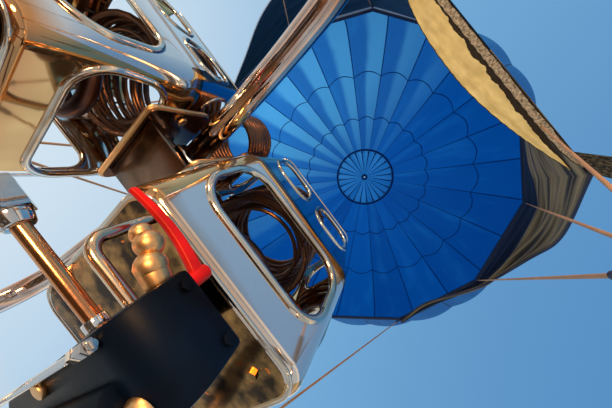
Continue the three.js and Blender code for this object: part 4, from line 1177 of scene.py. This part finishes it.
def can_shell():
    bm = bmesh.new()
    half_now, z_now = LEVELS[0][1], 0.0
    foot = rounded(half_now, half_now, 0.028, 7)
    bmesh.ops.create_circle(bm, segments=len(foot), radius=half_now)
    bm.verts.ensure_lookup_table()
    for vertex, (x, y) in zip(bm.verts, foot):
        vertex.co = (x, y, 0)
    start = ring = bm.edges[:]
    for z, half in LEVELS[1:] + [(z, half - WALL) for z, half in reversed(LEVELS)]:
        grown = bmesh.ops.extrude_edge_only(bm, edges=ring)["geom"]
        verts = [g for g in grown if isinstance(g, bmesh.types.BMVert)]
        ring = [g for g in grown if isinstance(g, bmesh.types.BMEdge)]
        ring = [e for e in ring if e.verts[0] in verts and e.verts[1] in verts]
        bmesh.ops.translate(bm, vec=(0, 0, z - z_now), verts=verts)
        bmesh.ops.scale(bm, vec=(half / half_now, half / half_now, 1), verts=verts)
        z_now, half_now = z, half
    bmesh.ops.bridge_loops(bm, edges=start + ring)
    bmesh.ops.recalc_face_normals(bm, faces=bm.faces)
    return to_mesh(bm, "can_wall")


print("can wall:", len(LEVELS), "levels")

# %% [markdown]
# Each wall has a window and two slots. A cutter goes right through opposite walls, so six cutters joined
# in one mesh and one boolean make every opening. Rolled lips, which are tubes laid on the wall, stiffen
# the openings.

# %% Openings and lips
OPENINGS = [(0.0, 0.106, 0.052, 0.174, 0.045), (0.0615, 0.0465, 0.262, 0.34, 0.032),
            (-0.0615, 0.0465, 0.262, 0.34, 0.032)]
SLOT_LEVEL = 0.1


def opening_block(centre, half, bottom, top, corner, turned_round):
    """A rounded bar through the can along Y, or along X when turned round."""
    cutter = block((2 * half, 0.5, top - bottom), (centre, 0, (top + bottom) / 2), corner, along=1,
                   segments=8)
    if turned_round:
        cutter.transform(Matrix.Rotation(math.pi / 2, 4, "Z"))
    return cutter


def cut_openings(shell):
    """The shell with its windows and slots cut through opposite walls."""
    bm = bmesh.new()
    for opening in OPENINGS:
        for turned_round in (False, True):
            cutter = opening_block(*opening, turned_round)
            bm.from_mesh(cutter)
            bpy.data.meshes.remove(cutter)
    tool = bpy.data.objects.new("openings", to_mesh(bm))
    holder = bpy.data.objects.new("can_wall", shell)
    for thing in (tool, holder):
        bpy.context.scene.collection.objects.link(thing)
    cutting = holder.modifiers.new("openings", "BOOLEAN")
    cutting.object = tool
    cutting.operation = "DIFFERENCE"
    cutting.use_self = True
    bpy.context.view_layer.update()
    seen = holder.evaluated_get(bpy.context.evaluated_depsgraph_get())
    cut = bpy.data.meshes.new_from_object(seen)
    bpy.data.objects.remove(tool)
    bpy.data.objects.remove(holder)
    return cut


def lips(thick):
    """Rolled lips round every opening, thinner round the slots."""
    shapes = []
    for centre, half, bottom, top, corner in OPENINGS:
        for quarter in range(4):
            points = []
            for x, z in rounded(half + thick * 0.3, (top - bottom) / 2 + thick * 0.3, corner, 16):
                z += (top + bottom) / 2
                points.append(Matrix.Rotation(quarter * math.pi / 2, 3, "Z")
                              @ Vector((centre + x, -wall_half(z) + WALL * 0.4, z)))
            shapes.append(tube(points, thick if bottom < SLOT_LEVEL else 0.7 * thick, closed=True))
    return shapes


can_mesh = cut_openings(can_shell())
print("can wall:", len(can_mesh.polygons), "faces after cutting")

# %% [markdown]
# The same cut sheet serves both cans. Each gets its lips, a rolled upper and lower edge, and a scorched
# floor plate with four studs. Weighted normals keep the flat walls flat beside the round corners.

# %% Cans


def shifted(shape, x):
    """A shape drawn about the origin, moved to stand at x on the burner's level."""
    shape.transform(Matrix.Translation((x, 0, BURNER_LEVEL)))
    return shape


for side, x in CANS.items():
    edge_rolls = [tube([Vector((a, b, z)) for a, b in rounded(half, half, 0.03)], roll, closed=True)
                  for z, half, roll in ((0.37, 0.1285, 0.0032), (0.002, 0.1205, 0.003))]
    wall = piece(f"can_sheet_{side}", [shifted(can_mesh.copy(), x)], "burner", mirror,
                 (f"can_{side}",), sharp=32)
    wall.modifiers.new("soft_corners", "WEIGHTED_NORMAL").keep_sharp = True
    piece(f"can_lips_{side}", [shifted(s, x) for s in lips(0.0058) + edge_rolls], "burner",
          lip_steel)
    plate = block((0.232, 0.232, 0.003), (0, 0, 0.0015), 0.026, along=2, segments=6)
    studs = [rod((a * 0.085, b * 0.085, -0.003), (a * 0.085, b * 0.085, 0.006), 0.006, 6) for a, b in corners]
    piece(f"can_base_{side}", [shifted(s, x) for s in (plate, *studs)], "burner", scorched,
          (f"can_floor_{side}",))
print("cans:", *CANS)

# %% [markdown]
# ## Coils and jet rings
# Liquid fuel is boiled in a coil that the flame heats, so the pipe is bronze and violet. Jets stand on a
# fat ring below it. A coil is one tube along a helix, held by clips, and a ring is spun.

# %% Coils and rings
JET_LEVEL, JET_RING = BURNER_LEVEL + 0.128, 0.072
COIL_FOOT, COIL_TOP, COIL_TURNS = 0.214, 0.392, 9


def on_ring(x, radius, angle, z):
    return Vector((x + radius * math.cos(angle), radius * math.sin(angle), z))


def coil_clips(x):
    """Four clips from the coil to the wall, each beside an upright stay."""
    clips = []
    for quarter in range(4):
        z = COIL_FOOT + (COIL_TOP - COIL_FOOT) / COIL_TURNS * (1 + quarter / 4)
        clip = rod_x(0.1, wall_half(z) - WALL - 0.0005, 0, z, 0.004, 10)
        stay = rod((0.113, 0, 0.21), (0.113, 0, 0.395), 0.0022, 8)
        clip.transform(Matrix.Rotation(quarter * math.pi / 2, 4, "Z"))
        stay.transform(Matrix.Rotation(quarter * math.pi / 2 + 0.4, 4, "Z"))
        clips += [shifted(clip, x), shifted(stay, x)]
    return clips


for side, x in CANS.items():
    centre = (x, 0, BURNER_LEVEL)
    coil = tube(helix(0.106, COIL_FOOT, COIL_TOP, COIL_TURNS, centre), 0.006)
    inner = tube(helix(0.084, 0.222, 0.37, 6, centre), 0.004, sides=8)
    piece(f"coil_{side}", [coil, inner, *coil_clips(x)], "burner", bronze,
          (f"main_coil_{side}",))
    ring = hoop(JET_RING, 0.013, 64, (x, 0, JET_LEVEL), sides=20)
    riser = rod((x, 0, BURNER_LEVEL + 0.0035), (x, 0, JET_LEVEL), 0.011, 24)
    spokes = [rod(on_ring(x, -0.07, a, JET_LEVEL), on_ring(x, 0.07, a, JET_LEVEL), 0.006, 14)
              for a in (math.pi / 2, math.pi / 6, -math.pi / 6)]
    jets = [rod(on_ring(x, JET_RING, a, JET_LEVEL + 0.008), on_ring(x, JET_RING, a, JET_LEVEL + 0.019),
                0.0035, 8, 0.0022) for a in (i * math.pi / 10 for i in range(20))]
    piece(f"jets_{side}", [ring, riser, *spokes, *jets], "burner", soot, (f"jet_ring_{side}",))
small = tube(helix(0.055, 0.272, 0.372, 8, (0, -0.072, BURNER_LEVEL)), 0.005)
tail = tube(bent([(0.055, -0.072, BURNER_LEVEL + 0.272), (0.054, -0.1, BURNER_LEVEL + 0.262),
                  (0.05, -0.078, BURNER_LEVEL + 0.24), (0.049, -0.07, BURNER_LEVEL + 0.2)]), 0.004)
piece("small_coil_pipe", [small, tail], "burner", bronze, ("small_coil",))
print("two main coils and a small one")

# %% [markdown]
# ## Carrier arch
# A polished tube is bent over the burner and carries it on a yoke. The path is the same two bends and
# crown as in the solid, as quadratic curves.

# %% Arch


def quadratic(a, b, c, steps=14):
    """Points from a towards c along a curve that bends at b. The end is left to the next curve."""
    a, b, c = Vector(a), Vector(b), Vector(c)
    return [(1 - t) ** 2 * a + 2 * (1 - t) * t * b + t ** 2 * c for t in (i / steps for i in range(steps))]


LEG, SHOULDER = 0.418, 0.33
LEG_TOP, BEND_TOP, SHOULDER_TOP, PEAK = (BURNER_LEVEL + rise for rise in (0.06, 0.151, 0.176, 0.268))
arch_line = [Vector((0, -LEG, FRAME_LEVEL)),
             *quadratic((0, -LEG, LEG_TOP), (0, -LEG, BEND_TOP), (0, -SHOULDER, SHOULDER_TOP)),
             *quadratic((0, -SHOULDER, SHOULDER_TOP), (0, 0, PEAK), (0, SHOULDER, SHOULDER_TOP), 24),
             *quadratic((0, SHOULDER, SHOULDER_TOP), (0, LEG, BEND_TOP), (0, LEG, LEG_TOP)),
             Vector((0, LEG, LEG_TOP)), Vector((0, LEG, FRAME_LEVEL))]
arch_tube = tube(arch_line, 0.0205, sides=28)
yoke = block((0.056, 0.058, 0.046), (0, 0, YOKE_LEVEL), 0.006, segments=3)
pins = [rod_x(-0.0535, 0.0535, 0, YOKE_LEVEL, 0.009, 24)]
pins += [rod_x(s * 0.028, s * 0.036, 0, YOKE_LEVEL, 0.015, 24, bevel=0.002) for s in (1, -1)]
for s in (1, -1):
    pins.append(rod((0, s * 0.4, FRAME_LEVEL), (0, s * 0.4442, FRAME_LEVEL), 0.026, 28, bevel=0.003))
    pins.append(rod((0, s * 0.43, FRAME_LEVEL), (0, s * 0.469, FRAME_LEVEL), 0.008, 20))
piece("arch", [arch_tube, yoke, *pins], "gimbal", arch_finish, ("carrier_arch",))
print("arch rises to", round(max(p.z for p in arch_line), 3))

# %% [markdown]
# ## Bracket, valves and controls
# Dark plates hang on the yoke's pin and hold the cans. Bolts go through each plate: round spacers on the
# can's side carry the can, and six-sided nuts are inside. A rounded strip runs round the plate's edge.

# %% Bracket
PLATE_X, PLATE_HALF_Y, PLATE_HALF_Z = 0.0495, 0.084, 0.065
PLATE_FACE, PLATE_BACK = PLATE_X + 0.004, PLATE_X - 0.0055
PLATE_LEVEL, BOLT_LEVEL = BURNER_LEVEL + 0.197, BURNER_LEVEL + 0.196
plates, bolts = [], []
for s in (1, -1):
    plates.append(block((0.008, 2 * PLATE_HALF_Y, 2 * PLATE_HALF_Z), (s * PLATE_X, 0, PLATE_LEVEL), 0.012,
                        along=0, segments=4))
    plates.append(rod_x(s * PLATE_FACE, s * 0.058, 0, YOKE_LEVEL, 0.017, 24, bevel=0.0015))
    edge = [Vector((s * (PLATE_X + 0.002), a, PLATE_LEVEL + b))
            for a, b in rounded(PLATE_HALF_Y, PLATE_HALF_Z, 0.012)]
    bolts.append(tube(edge, 0.0042, closed=True, sides=8))
    for y in (-0.07, 0.07):
        bolts.append(rod_x(s * PLATE_FACE, s * 0.0775, y, BOLT_LEVEL, 0.009, 20, bevel=0.001))
        bolts.append(rod_x(s * PLATE_BACK, s * 0.0385, y, BOLT_LEVEL, 0.008, 6, bevel=0.001))
    for y, z in ((-0.07176, 0.169), (-0.046, 0.236), (0.046, 0.236)):
        bolts.append(rod_x(s * PLATE_FACE, s * 0.0585, y, BURNER_LEVEL + z, 0.006, 6, bevel=0.001))
plates.append(block((0.09, 0.126, 0.008), (0, 0, BURNER_LEVEL + 0.142), 0.002))
plates.append(block((0.008, 0.008, 0.07), (0.0485, -0.072, BURNER_LEVEL + 0.231), 0.0015))
flange = hoop(0.016, 0.005, 28, (-0.0565, 0.06, BURNER_LEVEL + 0.155), "X")
piece("bracket", plates, "burner", plate_steel, ("burner_bracket",))
piece("bracket_bolts", [*bolts, flange], "burner", brass)
print("bracket with", len(bolts), "bolts and edges")

# %% [markdown]
# Under each can sits a valve block. Its casting starts as a box whose lower front edge is rounded far
# more than the rest, and the other edges are picked by their angle. What is drawn for the can at +X is
# mirrored for the other.

# %% Valve blocks


def both_sides(make):
    """The shapes that make() returns for the can at +X, and their mirror for the one at -X."""
    for side, x in CANS.items():
        shapes = make()
        for shape in shapes:
            shape.transform(Matrix.Translation((abs(x), 0, BURNER_LEVEL)))
            if x < 0:
                shape.transform(Matrix.Scale(-1, 4, (1, 0, 0)))
                shape.flip_normals()
        yield side, shapes


def valve_block():
    bm = bmesh.new()
    bmesh.ops.create_cube(bm, size=1)
    bmesh.ops.scale(bm, vec=(0.064, 0.157, 0.052), verts=bm.verts)
    nose = [e for e in bm.edges if all(v.co.y < 0 and v.co.z < 0 for v in e.verts)]
    round_edges(bm, nose, 0.026, 10)
    sides = [e for e in bm.edges if len(e.link_faces) == 2 and e.calc_face_angle() > 0.6]
    round_edges(bm, sides, 0.004)
    bmesh.ops.translate(bm, vec=(0, -0.0785, -0.071), verts=bm.verts)
    body = to_mesh(bm)
    ridge = rod((0.004, -0.125, -0.0975), (-0.006, -0.01, -0.0975), 0.009, 16, bevel=0.002)
    bolts = [rod((x, -0.157, -0.054), (x, -0.1595, -0.054), 0.0048, 6, bevel=0.0008) for x in (-0.022, 0.022)]
    neck = rod((0, -0.03925, -0.05), (0, -0.03925, -0.0003), 0.024, 28)
    inlet = rod((0, -0.02, -0.07), (0, 0.044, -0.07), 0.0135, 24, bevel=0.002)
    return [body, ridge, *bolts, neck, inlet]


for side, shapes in both_sides(valve_block):
    piece(f"valve_{side}", shapes, "burner", black_with_painted_sheen, (f"valve_block_{side}",))
print("valve blocks")

# %% [markdown]
# The brass on each block is small: a nut on the inlet, a plug and caps below, and a spindle that ends in
# worn lobes, made of three balls that overlap.

# %% Valve trim


def valve_trim():
    nut = rod((0, 0.008, -0.07), (0, 0.026, -0.07), 0.0165, 6, bevel=0.0015)
    plug = rod((0.018, -0.13, -0.096), (0.018, -0.13, -0.101), 0.011, 24, 0.009, bevel=0.001)
    caps = [rod((a, b, -0.0965), (a, b, -0.1), 0.0055, 12, bevel=0.001)
            for a, b in ((0.022, -0.02), (-0.024, -0.06))]
    spindle = rod((-0.031, -0.14, -0.056), (-0.05, -0.14, -0.052), 0.0085, 20, 0.0105, bevel=0.002)
    lobes = [ball((-0.046, -0.141, -0.053), 0.0105), ball((-0.06, -0.143, -0.046), 0.0098),
             ball((-0.07, -0.138, -0.042), 0.008)]
    return [nut, plug, *caps, spindle, *lobes]


for side, shapes in both_sides(valve_trim):
    piece(f"valve_trim_{side}", shapes, "burner", brass)
print("valve trim")

# %% [markdown]
# The red lever is a bar that grows thinner outwards and is slightly bowed. A box cut in twelve along its
# length can follow that. It turns on a boss that stands on the block.

# %% Blast levers
LEVER_LENGTH = 0.084


def blast_lever():
    bm = bmesh.new()
    bmesh.ops.create_cube(bm, size=1)
    bmesh.ops.scale(bm, vec=(LEVER_LENGTH, 0.0075, 0.0115), verts=bm.verts)
    lengthwise = [e for e in bm.edges if abs(e.verts[0].co.x - e.verts[1].co.x) > 0.07]
    bmesh.ops.subdivide_edges(bm, edges=lengthwise, cuts=12)
    for vertex in bm.verts:
        outwards = 0.5 - vertex.co.x / LEVER_LENGTH
        vertex.co.y *= 1 - 0.2 * outwards
        vertex.co.z = vertex.co.z * (1 - 0.42 * outwards) + 0.006 * math.sin(outwards * math.pi)
    corners_of_bar = [e for e in bm.edges if len(e.link_faces) == 2 and e.calc_face_angle() > 0.9]
    round_edges(bm, corners_of_bar, 0.0022, 3)
    bmesh.ops.translate(bm, vec=(-0.067, -0.134, -0.022), verts=bm.verts)
    boss = rod((-0.022, -0.134, -0.0447), (-0.022, -0.134, -0.014), 0.0065, 20, bevel=0.0015)
    return [to_mesh(bm), boss]


for side, shapes in both_sides(blast_lever):
    piece(f"lever_{side}", shapes, "burner", red, (f"blast_lever_{side}",))
print("blast levers")

# %% [markdown]
# A bent rod goes from each block up to the can's floor, and a thin pilot pipe runs back under the block.
# One pipe crosses from block to block, with six-sided nuts and tapered collars on it.

# %% Rods and pipes


def grab_rod():
    path = [(-0.0323, -0.058), (-0.06, -0.058), (-0.078, -0.0575), (-0.087, -0.05), (-0.0883, -0.036),
            (-0.0883, -0.0005)]
    return [tube(bent([(x, -0.11, z) for x, z in path], 6), 0.005, sides=16)]


for side, shapes in both_sides(grab_rod):
    piece(f"rod_{side}", shapes, "burner", warm_rod, (f"grab_rod_{side}",))


def pilot_pipe():
    return [rod((-0.026, -0.142, -0.0998), (-0.038, 0.062, -0.0998), 0.0025, 16, bevel=0.0005),
            rod((-0.0262, -0.139, -0.0998), (-0.0272, -0.121, -0.0998), 0.0042, 6, bevel=0.0005)]


for side, shapes in both_sides(pilot_pipe):
    piece(f"pilot_{side}", shapes, "burner", chrome, (f"pilot_pipe_{side}",))
PIPE_Y, PIPE_Z = -0.107, BURNER_LEVEL - 0.078
pipe = rod_x(-0.1777, 0.1777, PIPE_Y, PIPE_Z, 0.005, 20)
nuts = []
for s in (1, -1):
    nuts.append(rod_x(s * 0.066, s * 0.09, PIPE_Y, PIPE_Z, 0.013, 6, bevel=0.0015))
    nuts.append(rod_x(s * 0.09, s * 0.099, PIPE_Y, PIPE_Z, 0.0105, 20, 0.008, bevel=0.001))
    nuts.append(rod_x(s * 0.17, s * 0.1775, PIPE_Y, PIPE_Z, 0.007, 20, bevel=0.001))
piece("cross_pipe", [pipe], "burner", copper, ("cross_flow_pipe",))
piece("cross_pipe_nuts", nuts, "burner", chrome)
print("rods, pilot pipes and the cross pipe with", len(nuts), "nuts")

# %% [markdown]
# ## Load frame and its links
# The frame stays as its solid, polished tube between castings, and only its finish is new. So do the
# crown's ring and tapes. The karabiners are redrawn as smooth loops with a screw sleeve on the gate.

# %% Load frame and karabiners
HALF_LOOP, BEND_IN = 0.03, 0.024


def refinish(name, material):
    """Keeps a solid's shape and gives it a new finish."""
    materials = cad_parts[name].data.materials
    materials.clear()
    materials.append(material)


refinish("load_frame", chrome)
refinish("crown_ring_and_tapes", navy_tape)
for number, (side_x, side_y) in enumerate(corners, 1):
    x, y = side_x * FRAME_X, side_y * FRAME_Y
    low = BURNER_LEVEL + 0.0093
    high = BURNER_LEVEL + SWAGE - 0.0224
    path = [(0, low), (BEND_IN, low + 0.015), (HALF_LOOP, low + 0.05), (HALF_LOOP, high - 0.05),
            (BEND_IN, high - 0.015), (0, high), (-BEND_IN, high - 0.015), (-HALF_LOOP, high - 0.05),
            (-HALF_LOOP, low + 0.05), (-BEND_IN, low + 0.015), (0, low)]
    smooth_loop = bent([(x, y + aside, z) for aside, z in path], 6)[:-1]
    loop_shape = tube(smooth_loop, 0.0066, closed=True, sides=16)
    sleeve = rod((x, y + HALF_LOOP, low + 0.055), (x, y + HALF_LOOP, low + 0.1), 0.0095, 16, bevel=0.0015)
    piece(f"karabiner_loop_{number}", [loop_shape, sleeve], "balloon", satin,
          (f"karabiner_{number}",))
print("four karabiners")

# %% [markdown]
# ## The basket
# Willow has a grain and leather fine cells. The padded covers and the straps are woven like the tapes,
# and plywood's rings are a noise stretched along one way. The floor and its runners keep their solids.

# %% Wicker, leather, wood and covers
wicker, wicker_tree, wicker_shader = start_finish("woven_willow", 0.5)
grain = noise(wicker_tree, object_place(wicker_tree, (6, 6, 60)), 3.0, 4.0)
wicker_tree.links.new(mixed(wicker_tree, grain, (0.22, 0.1, 0.035), (0.62, 0.38, 0.17)),
                      wicker_shader.inputs["Base Color"])
fibres = noise(wicker_tree, object_place(wicker_tree, (40, 40, 300)), 3.0, 2.0)
bumped(wicker_tree, wicker_shader, fibres, 0.3, 0.002)
worn_roughness(wicker_tree, wicker_shader, object_place(wicker_tree), 0.35, 0.6)


def soft_leather(name, colour, second, scale):
    made, tree, shader = start_finish(name, 0.55)
    place = object_place(tree)
    cells = tree.nodes.new("ShaderNodeTexVoronoi")
    cells.feature = "DISTANCE_TO_EDGE"
    cells.inputs["Scale"].default_value = scale
    tree.links.new(place, cells.inputs["Vector"])
    tree.links.new(mixed(tree, noise(tree, place, 5.0, 4.0), colour, second), shader.inputs["Base Color"])
    bumped(tree, shader, cells.outputs["Distance"], 0.35, 0.004)
    worn_roughness(tree, shader, place, 0.4, 0.7)
    return made


rim_leather = soft_leather("rim_leather", (0.09, 0.035, 0.015), (0.22, 0.1, 0.05), 260.0)
padded_cover = woven_tape("padded_cover", (0.01, 0.02, 0.05), (0.03, 0.05, 0.1), 900.0)
strap_web = woven_tape("strap_web", (0.02, 0.02, 0.022), (0.06, 0.06, 0.06), 1200.0)
plywood, ply_tree, ply_shader = start_finish("sealed_plywood", 0.5)
rings = noise(ply_tree, object_place(ply_tree, (1.2, 16, 1)), 2.0, 6.0)
ply_tree.links.new(mixed(ply_tree, rings, (0.3, 0.17, 0.08), (0.62, 0.42, 0.22)),
                   ply_shader.inputs["Base Color"])
bumped(ply_tree, ply_shader, rings, 0.2, 0.002)
refinish("basket_floor", plywood)
refinish("basket_runners", plywood)
print("basket finishes:", wicker.name, rim_leather.name, padded_cover.name, strap_web.name, plywood.name)

# %% [markdown]
# Everything on the wall follows one closed path: four straight runs joined by quarter turns, a little
# smaller low down because the basket tapers. One function walks along it and gives a point at any height.

# %% The basket's path
BASE, BASKET_HIGH = BURNER_LEVEL - 2.09, 1.08
CORNER = 0.13


def basket_halves(level):
    spread = 1 - level / BASKET_HIGH
    return 0.75 - 0.06 * spread, 0.6 - 0.06 * spread


def basket_point(share, level, offset):
    """A point on the basket's wall, share of the way round, offset outwards from the wall's outside."""
    half_x, half_y = basket_halves(level)
    runs = [2 * (half_y - CORNER), math.pi / 2 * CORNER, 2 * (half_x - CORNER), math.pi / 2 * CORNER] * 2
    left = (share % 1) * sum(runs)
    turn = 0.0
    at = Vector((half_x, -(half_y - CORNER)))
    for i, run in enumerate(runs):
        out = Vector((math.cos(turn), math.sin(turn)))
        ahead = Vector((-out.y, out.x))
        inside = left <= run or i == len(runs) - 1
        step = left if inside else run
        if i % 2 == 0:
            at = at + ahead * step
        else:
            middle = at - CORNER * out
            turn += step / CORNER
            out = Vector((math.cos(turn), math.sin(turn)))
            at = middle + CORNER * out
        if inside:
            return Vector((at.x + offset * out.x, at.y + offset * out.y, BASE + level))
        left -= run


straight = 4 * (sum(basket_halves(BASKET_HIGH)) - 2 * CORNER)
print("basket: %.2f m round at its rim" % (straight + 2 * math.pi * CORNER))

# %% [markdown]
# Willow is woven round upright stakes: each strand passes in front of one stake and behind the next, and
# the next strand does the opposite. So each strand is a waved tube round the basket, and every other row
# is half a wave on. The strands and stakes leave out four foot holes.

# %% Woven walls
STAKES, ROW, ROWS_FROM = 88, 0.0185, 0.045
MIDDLE_OF_WALL = -0.014
HOLE_LOW, HOLE_HIGH, HOLE_NEAR, HOLE_FAR = 0.33, 0.45, 0.345, 0.495
END_WALL = 0.4


def in_foot_hole(x, y):
    return HOLE_NEAR < abs(x) < HOLE_FAR and abs(y) > END_WALL


rows = int((BASKET_HIGH - ROWS_FROM) / ROW)
strands = []
for row in range(rows):
    level = ROWS_FROM + ROW * (row + 0.5)
    runs = [[]]
    for i in range(STAKES * 2 + 1):
        wave = 0.009 * math.cos(math.pi * (i / 2 + row % 2))
        point = basket_point(i / (STAKES * 2), level, MIDDLE_OF_WALL + wave)
        if HOLE_LOW < level < HOLE_HIGH and in_foot_hole(point.x, point.y):
            runs.append([])
        else:
            runs[-1].append(point)
    strands += [tube(run, 0.0098, sides=6) for run in runs if len(run) > 2]
walls = piece("basket_weave", strands, "balloon", wicker, ("basket_walls",), sharp=70)
print("weave:", rows, "rows,", len(walls.data.polygons), "faces")

# %% [markdown]
# The stakes stand inside the weave. At the foot and at the rim two thicker strands are twisted round each
# other as a border: each winds about the path, half a turn apart from its neighbour.

# %% Stakes and borders
BORDER_POINTS = 260
stakes = []
for i in range(STAKES):
    low, high = (basket_point((i + 0.5) / STAKES, level, MIDDLE_OF_WALL) for level in (0.042, BASKET_HIGH))
    spans = ((0, 0.27), (0.4, 1)) if in_foot_hole(low.x * 1.05, low.y) else ((0, 1),)
    stakes += [rod(low.lerp(high, a), low.lerp(high, b), 0.005, 6) for a, b in spans]
piece("basket_stakes", stakes, "balloon", wicker)
border = []
for level in (0.05, 1.06):
    for lift, shift in ((0, 0), (0.012, 3)):
        line = []
        for i in range(BORDER_POINTS):
            twist = i * 0.9 + shift
            line.append(basket_point(i / BORDER_POINTS, level + lift + 0.004 * math.sin(twist),
                                     0.004 * math.cos(twist) - 0.002))
        border.append(tube(line, 0.0085, closed=True, sides=6))
piece("basket_borders", border, "balloon", wicker)
print("stakes:", len(stakes), "and border strands:", len(border))

# %% [markdown]
# The rim is foam under laced leather, and the uprights wear padded covers. Both are declared as padded.
# The rim is a tube along the basket's path. Each lace is a short tube that climbs over the rim and goes a
# little further along it.

# %% Rim
RIM_LIFT, RIM_STEPS, LACES = 0.0343, 360, 120
UP = Vector((0, 0, 1))


def rim_point(share):
    return basket_point(share, BASKET_HIGH, MIDDLE_OF_WALL) + RIM_LIFT * UP


rim = tube([rim_point(i / RIM_STEPS) for i in range(RIM_STEPS)], 0.0325, closed=True, sides=16)
rim_pad = piece("rim_pad", [rim], "balloon", rim_leather, ("basket_rim",), sharp=80)
lacing = []
for i in range(LACES):
    a, b = rim_point(i / LACES), rim_point((i + 0.35) / LACES)
    out = (b - a).cross(UP).normalized()
    turns = [-1.4 + 2.8 * k / 6 for k in range(7)]
    lacing.append(tube([a + 0.0335 * (math.cos(t) * out + math.sin(t) * UP) + (b - a) * (t + 1.4) / 2.8
                        for t in turns], 0.0022, sides=4))
piece("rim_lacing", lacing, "balloon", strap_web)
print("rim with", len(lacing), "laces")

# %% [markdown]
# An upright is a cylinder cut in forty along its length. Its cover swells six times between lacings. It
# stands in a steel socket on the rim and ends in another under the frame.

# %% Uprights
RIM_TOP = BASE + BASKET_HIGH + 0.0686
SOCKET = 0.042


def puffed_cover(foot, head):
    """A padded tube between two points."""
    bm = bmesh.new()
    bmesh.ops.create_cone(bm, cap_ends=True, segments=24, radius1=0.027, radius2=0.027, depth=1)
    spine = [e for e in bm.edges if abs(e.verts[0].co.z - e.verts[1].co.z) > 0.9]
    bmesh.ops.subdivide_edges(bm, edges=spine, cuts=40)
    for vertex in bm.verts:
        puff = 0.93 + 0.07 * abs(math.sin((vertex.co.z + 0.5) * math.pi * 6)) ** 0.6
        vertex.co.x *= puff
        vertex.co.y *= puff
    turn = (head - foot).to_track_quat("Z", "Y").to_matrix().to_4x4()
    stretch = Matrix.Diagonal((1, 1, (head - foot).length, 1))
    bmesh.ops.transform(bm, matrix=Matrix.Translation((foot + head) / 2) @ turn @ stretch, verts=bm.verts)
    return to_mesh(bm)


for number, (side_x, side_y) in enumerate(corners, 1):
    foot = Vector((side_x * 0.702, side_y * 0.552, RIM_TOP + SOCKET))
    head = Vector((side_x * FRAME_X, side_y * FRAME_Y, FRAME_LEVEL - 0.0323 - SOCKET))
    cover = piece(f"upright_cover_{number}", [puffed_cover(foot, head)], "balloon",
                  padded_cover, (f"upright_{number}",), sharp=60)
    socket = rod(foot - SOCKET * UP, foot, 0.034, 28, 0.03, bevel=0.003)
    cap = rod(head, head + SOCKET * UP, 0.028, 28, 0.026, bevel=0.003)
    piece(f"upright_socket_{number}", [socket, cap], "balloon", satin)
print("uprights:", len(corners))

# %% [markdown]
# ## Fuel cylinders
# Each stands in a corner, strapped to the wall. The body with its domed shoulder is turned from one
# profile and the valve's guard from another. The straps and the valve are pieces of their own.

# %% Fuel cylinders
TANK_BASE = BASE + 0.0773
TANK_RADIUS, TANK_HIGH = 0.15, 0.64
GUARD, GUARD_FOOT, GUARD_TOP = 0.098, TANK_HIGH - 0.03, TANK_HIGH + 0.088
STRAP_IN, STRAP_OUT = TANK_RADIUS + 0.0006, TANK_RADIUS + 0.0032
turns = [i * math.pi / 20 for i in range(9)]
shoulder = [(TANK_RADIUS * math.cos(a), TANK_HIGH - 0.06 + 0.05 * math.sin(a)) for a in turns]
tank_profile = [(0.001, 0.001), (0.1, 0.001), (0.104, 0.004), (0.104, 0.03), (0.125, 0.038), (0.143, 0.055),
                (TANK_RADIUS, 0.075), (TANK_RADIUS, 0.2), (TANK_RADIUS, 0.4), *shoulder,
                (0.06, TANK_HIGH - 0.004), (0.001, TANK_HIGH)]
guard_profile = [(GUARD, GUARD_FOOT), (GUARD, GUARD_TOP), (GUARD - 0.0025, GUARD_TOP + 0.0025),
                 (GUARD - 0.005, GUARD_TOP), (GUARD - 0.005, GUARD_FOOT)]


def cylinder_valve(x, y, z, side_x):
    """A stem with a hand wheel on top and an outlet that points to the basket's middle."""
    wheel_level = z + 0.064
    arms = [rod_x(x - 0.02, x + 0.02, y, wheel_level, 0.003, 8),
            rod((x, y - 0.02, wheel_level), (x, y + 0.02, wheel_level), 0.003, 8)]
    stem = rod((x, y, z - 0.004), (x, y, z + 0.045), 0.017, 24, bevel=0.002)
    hub = rod((x, y, z + 0.04), (x, y, z + 0.068), 0.008)
    wheel = hoop(0.021, 0.006, 24, (x, y, wheel_level), sides=10)
    outlet = rod_x(x, x - 0.045 * side_x, y, z + 0.022, 0.009, bevel=0.001)
    return [stem, hub, wheel, *arms, outlet]


for number, (side_x, side_y) in enumerate(corners, 1):
    x, y = side_x * 0.5, side_y * 0.352
    shapes = [turned(profile, 48, place=(x, y, TANK_BASE)) for profile in (tank_profile, guard_profile)]
    piece(f"cylinder_{number}", shapes, "balloon", enamel, (f"fuel_cylinder_{number}",),
          sharp=40)
    piece(f"cylinder_valve_{number}", cylinder_valve(x, y, TANK_BASE + TANK_HIGH, side_x), "balloon",
          brass)
    bands = []
    for level in (0.17, 0.47):
        section = [(STRAP_IN, level), (STRAP_OUT, level + 0.002), (STRAP_OUT, level + 0.043),
                   (STRAP_IN, level + 0.045)]
        bands.append(turned(section, 48, place=(x, y, TANK_BASE)))
        buckle_y = y - side_y * (TANK_RADIUS + 0.004)
        bands.append(block((0.05, 0.008, 0.052), (x, buckle_y, TANK_BASE + level + 0.022), 0.002))
    piece(f"cylinder_straps_{number}", bands, "balloon", strap_web)
print("cylinders:", len(corners))

# %% [markdown]
# ## Last
# The box of the dressed balloon is set beside the solid one's, to see that no piece stands proud.

# %% Sizes and finish
bpy.context.view_layer.update()
seen_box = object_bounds()
for label, box in (("cad box", cad_box), ("seen box", seen_box)):
    print(label, [[round(c, 2) for c in v] for v in box])
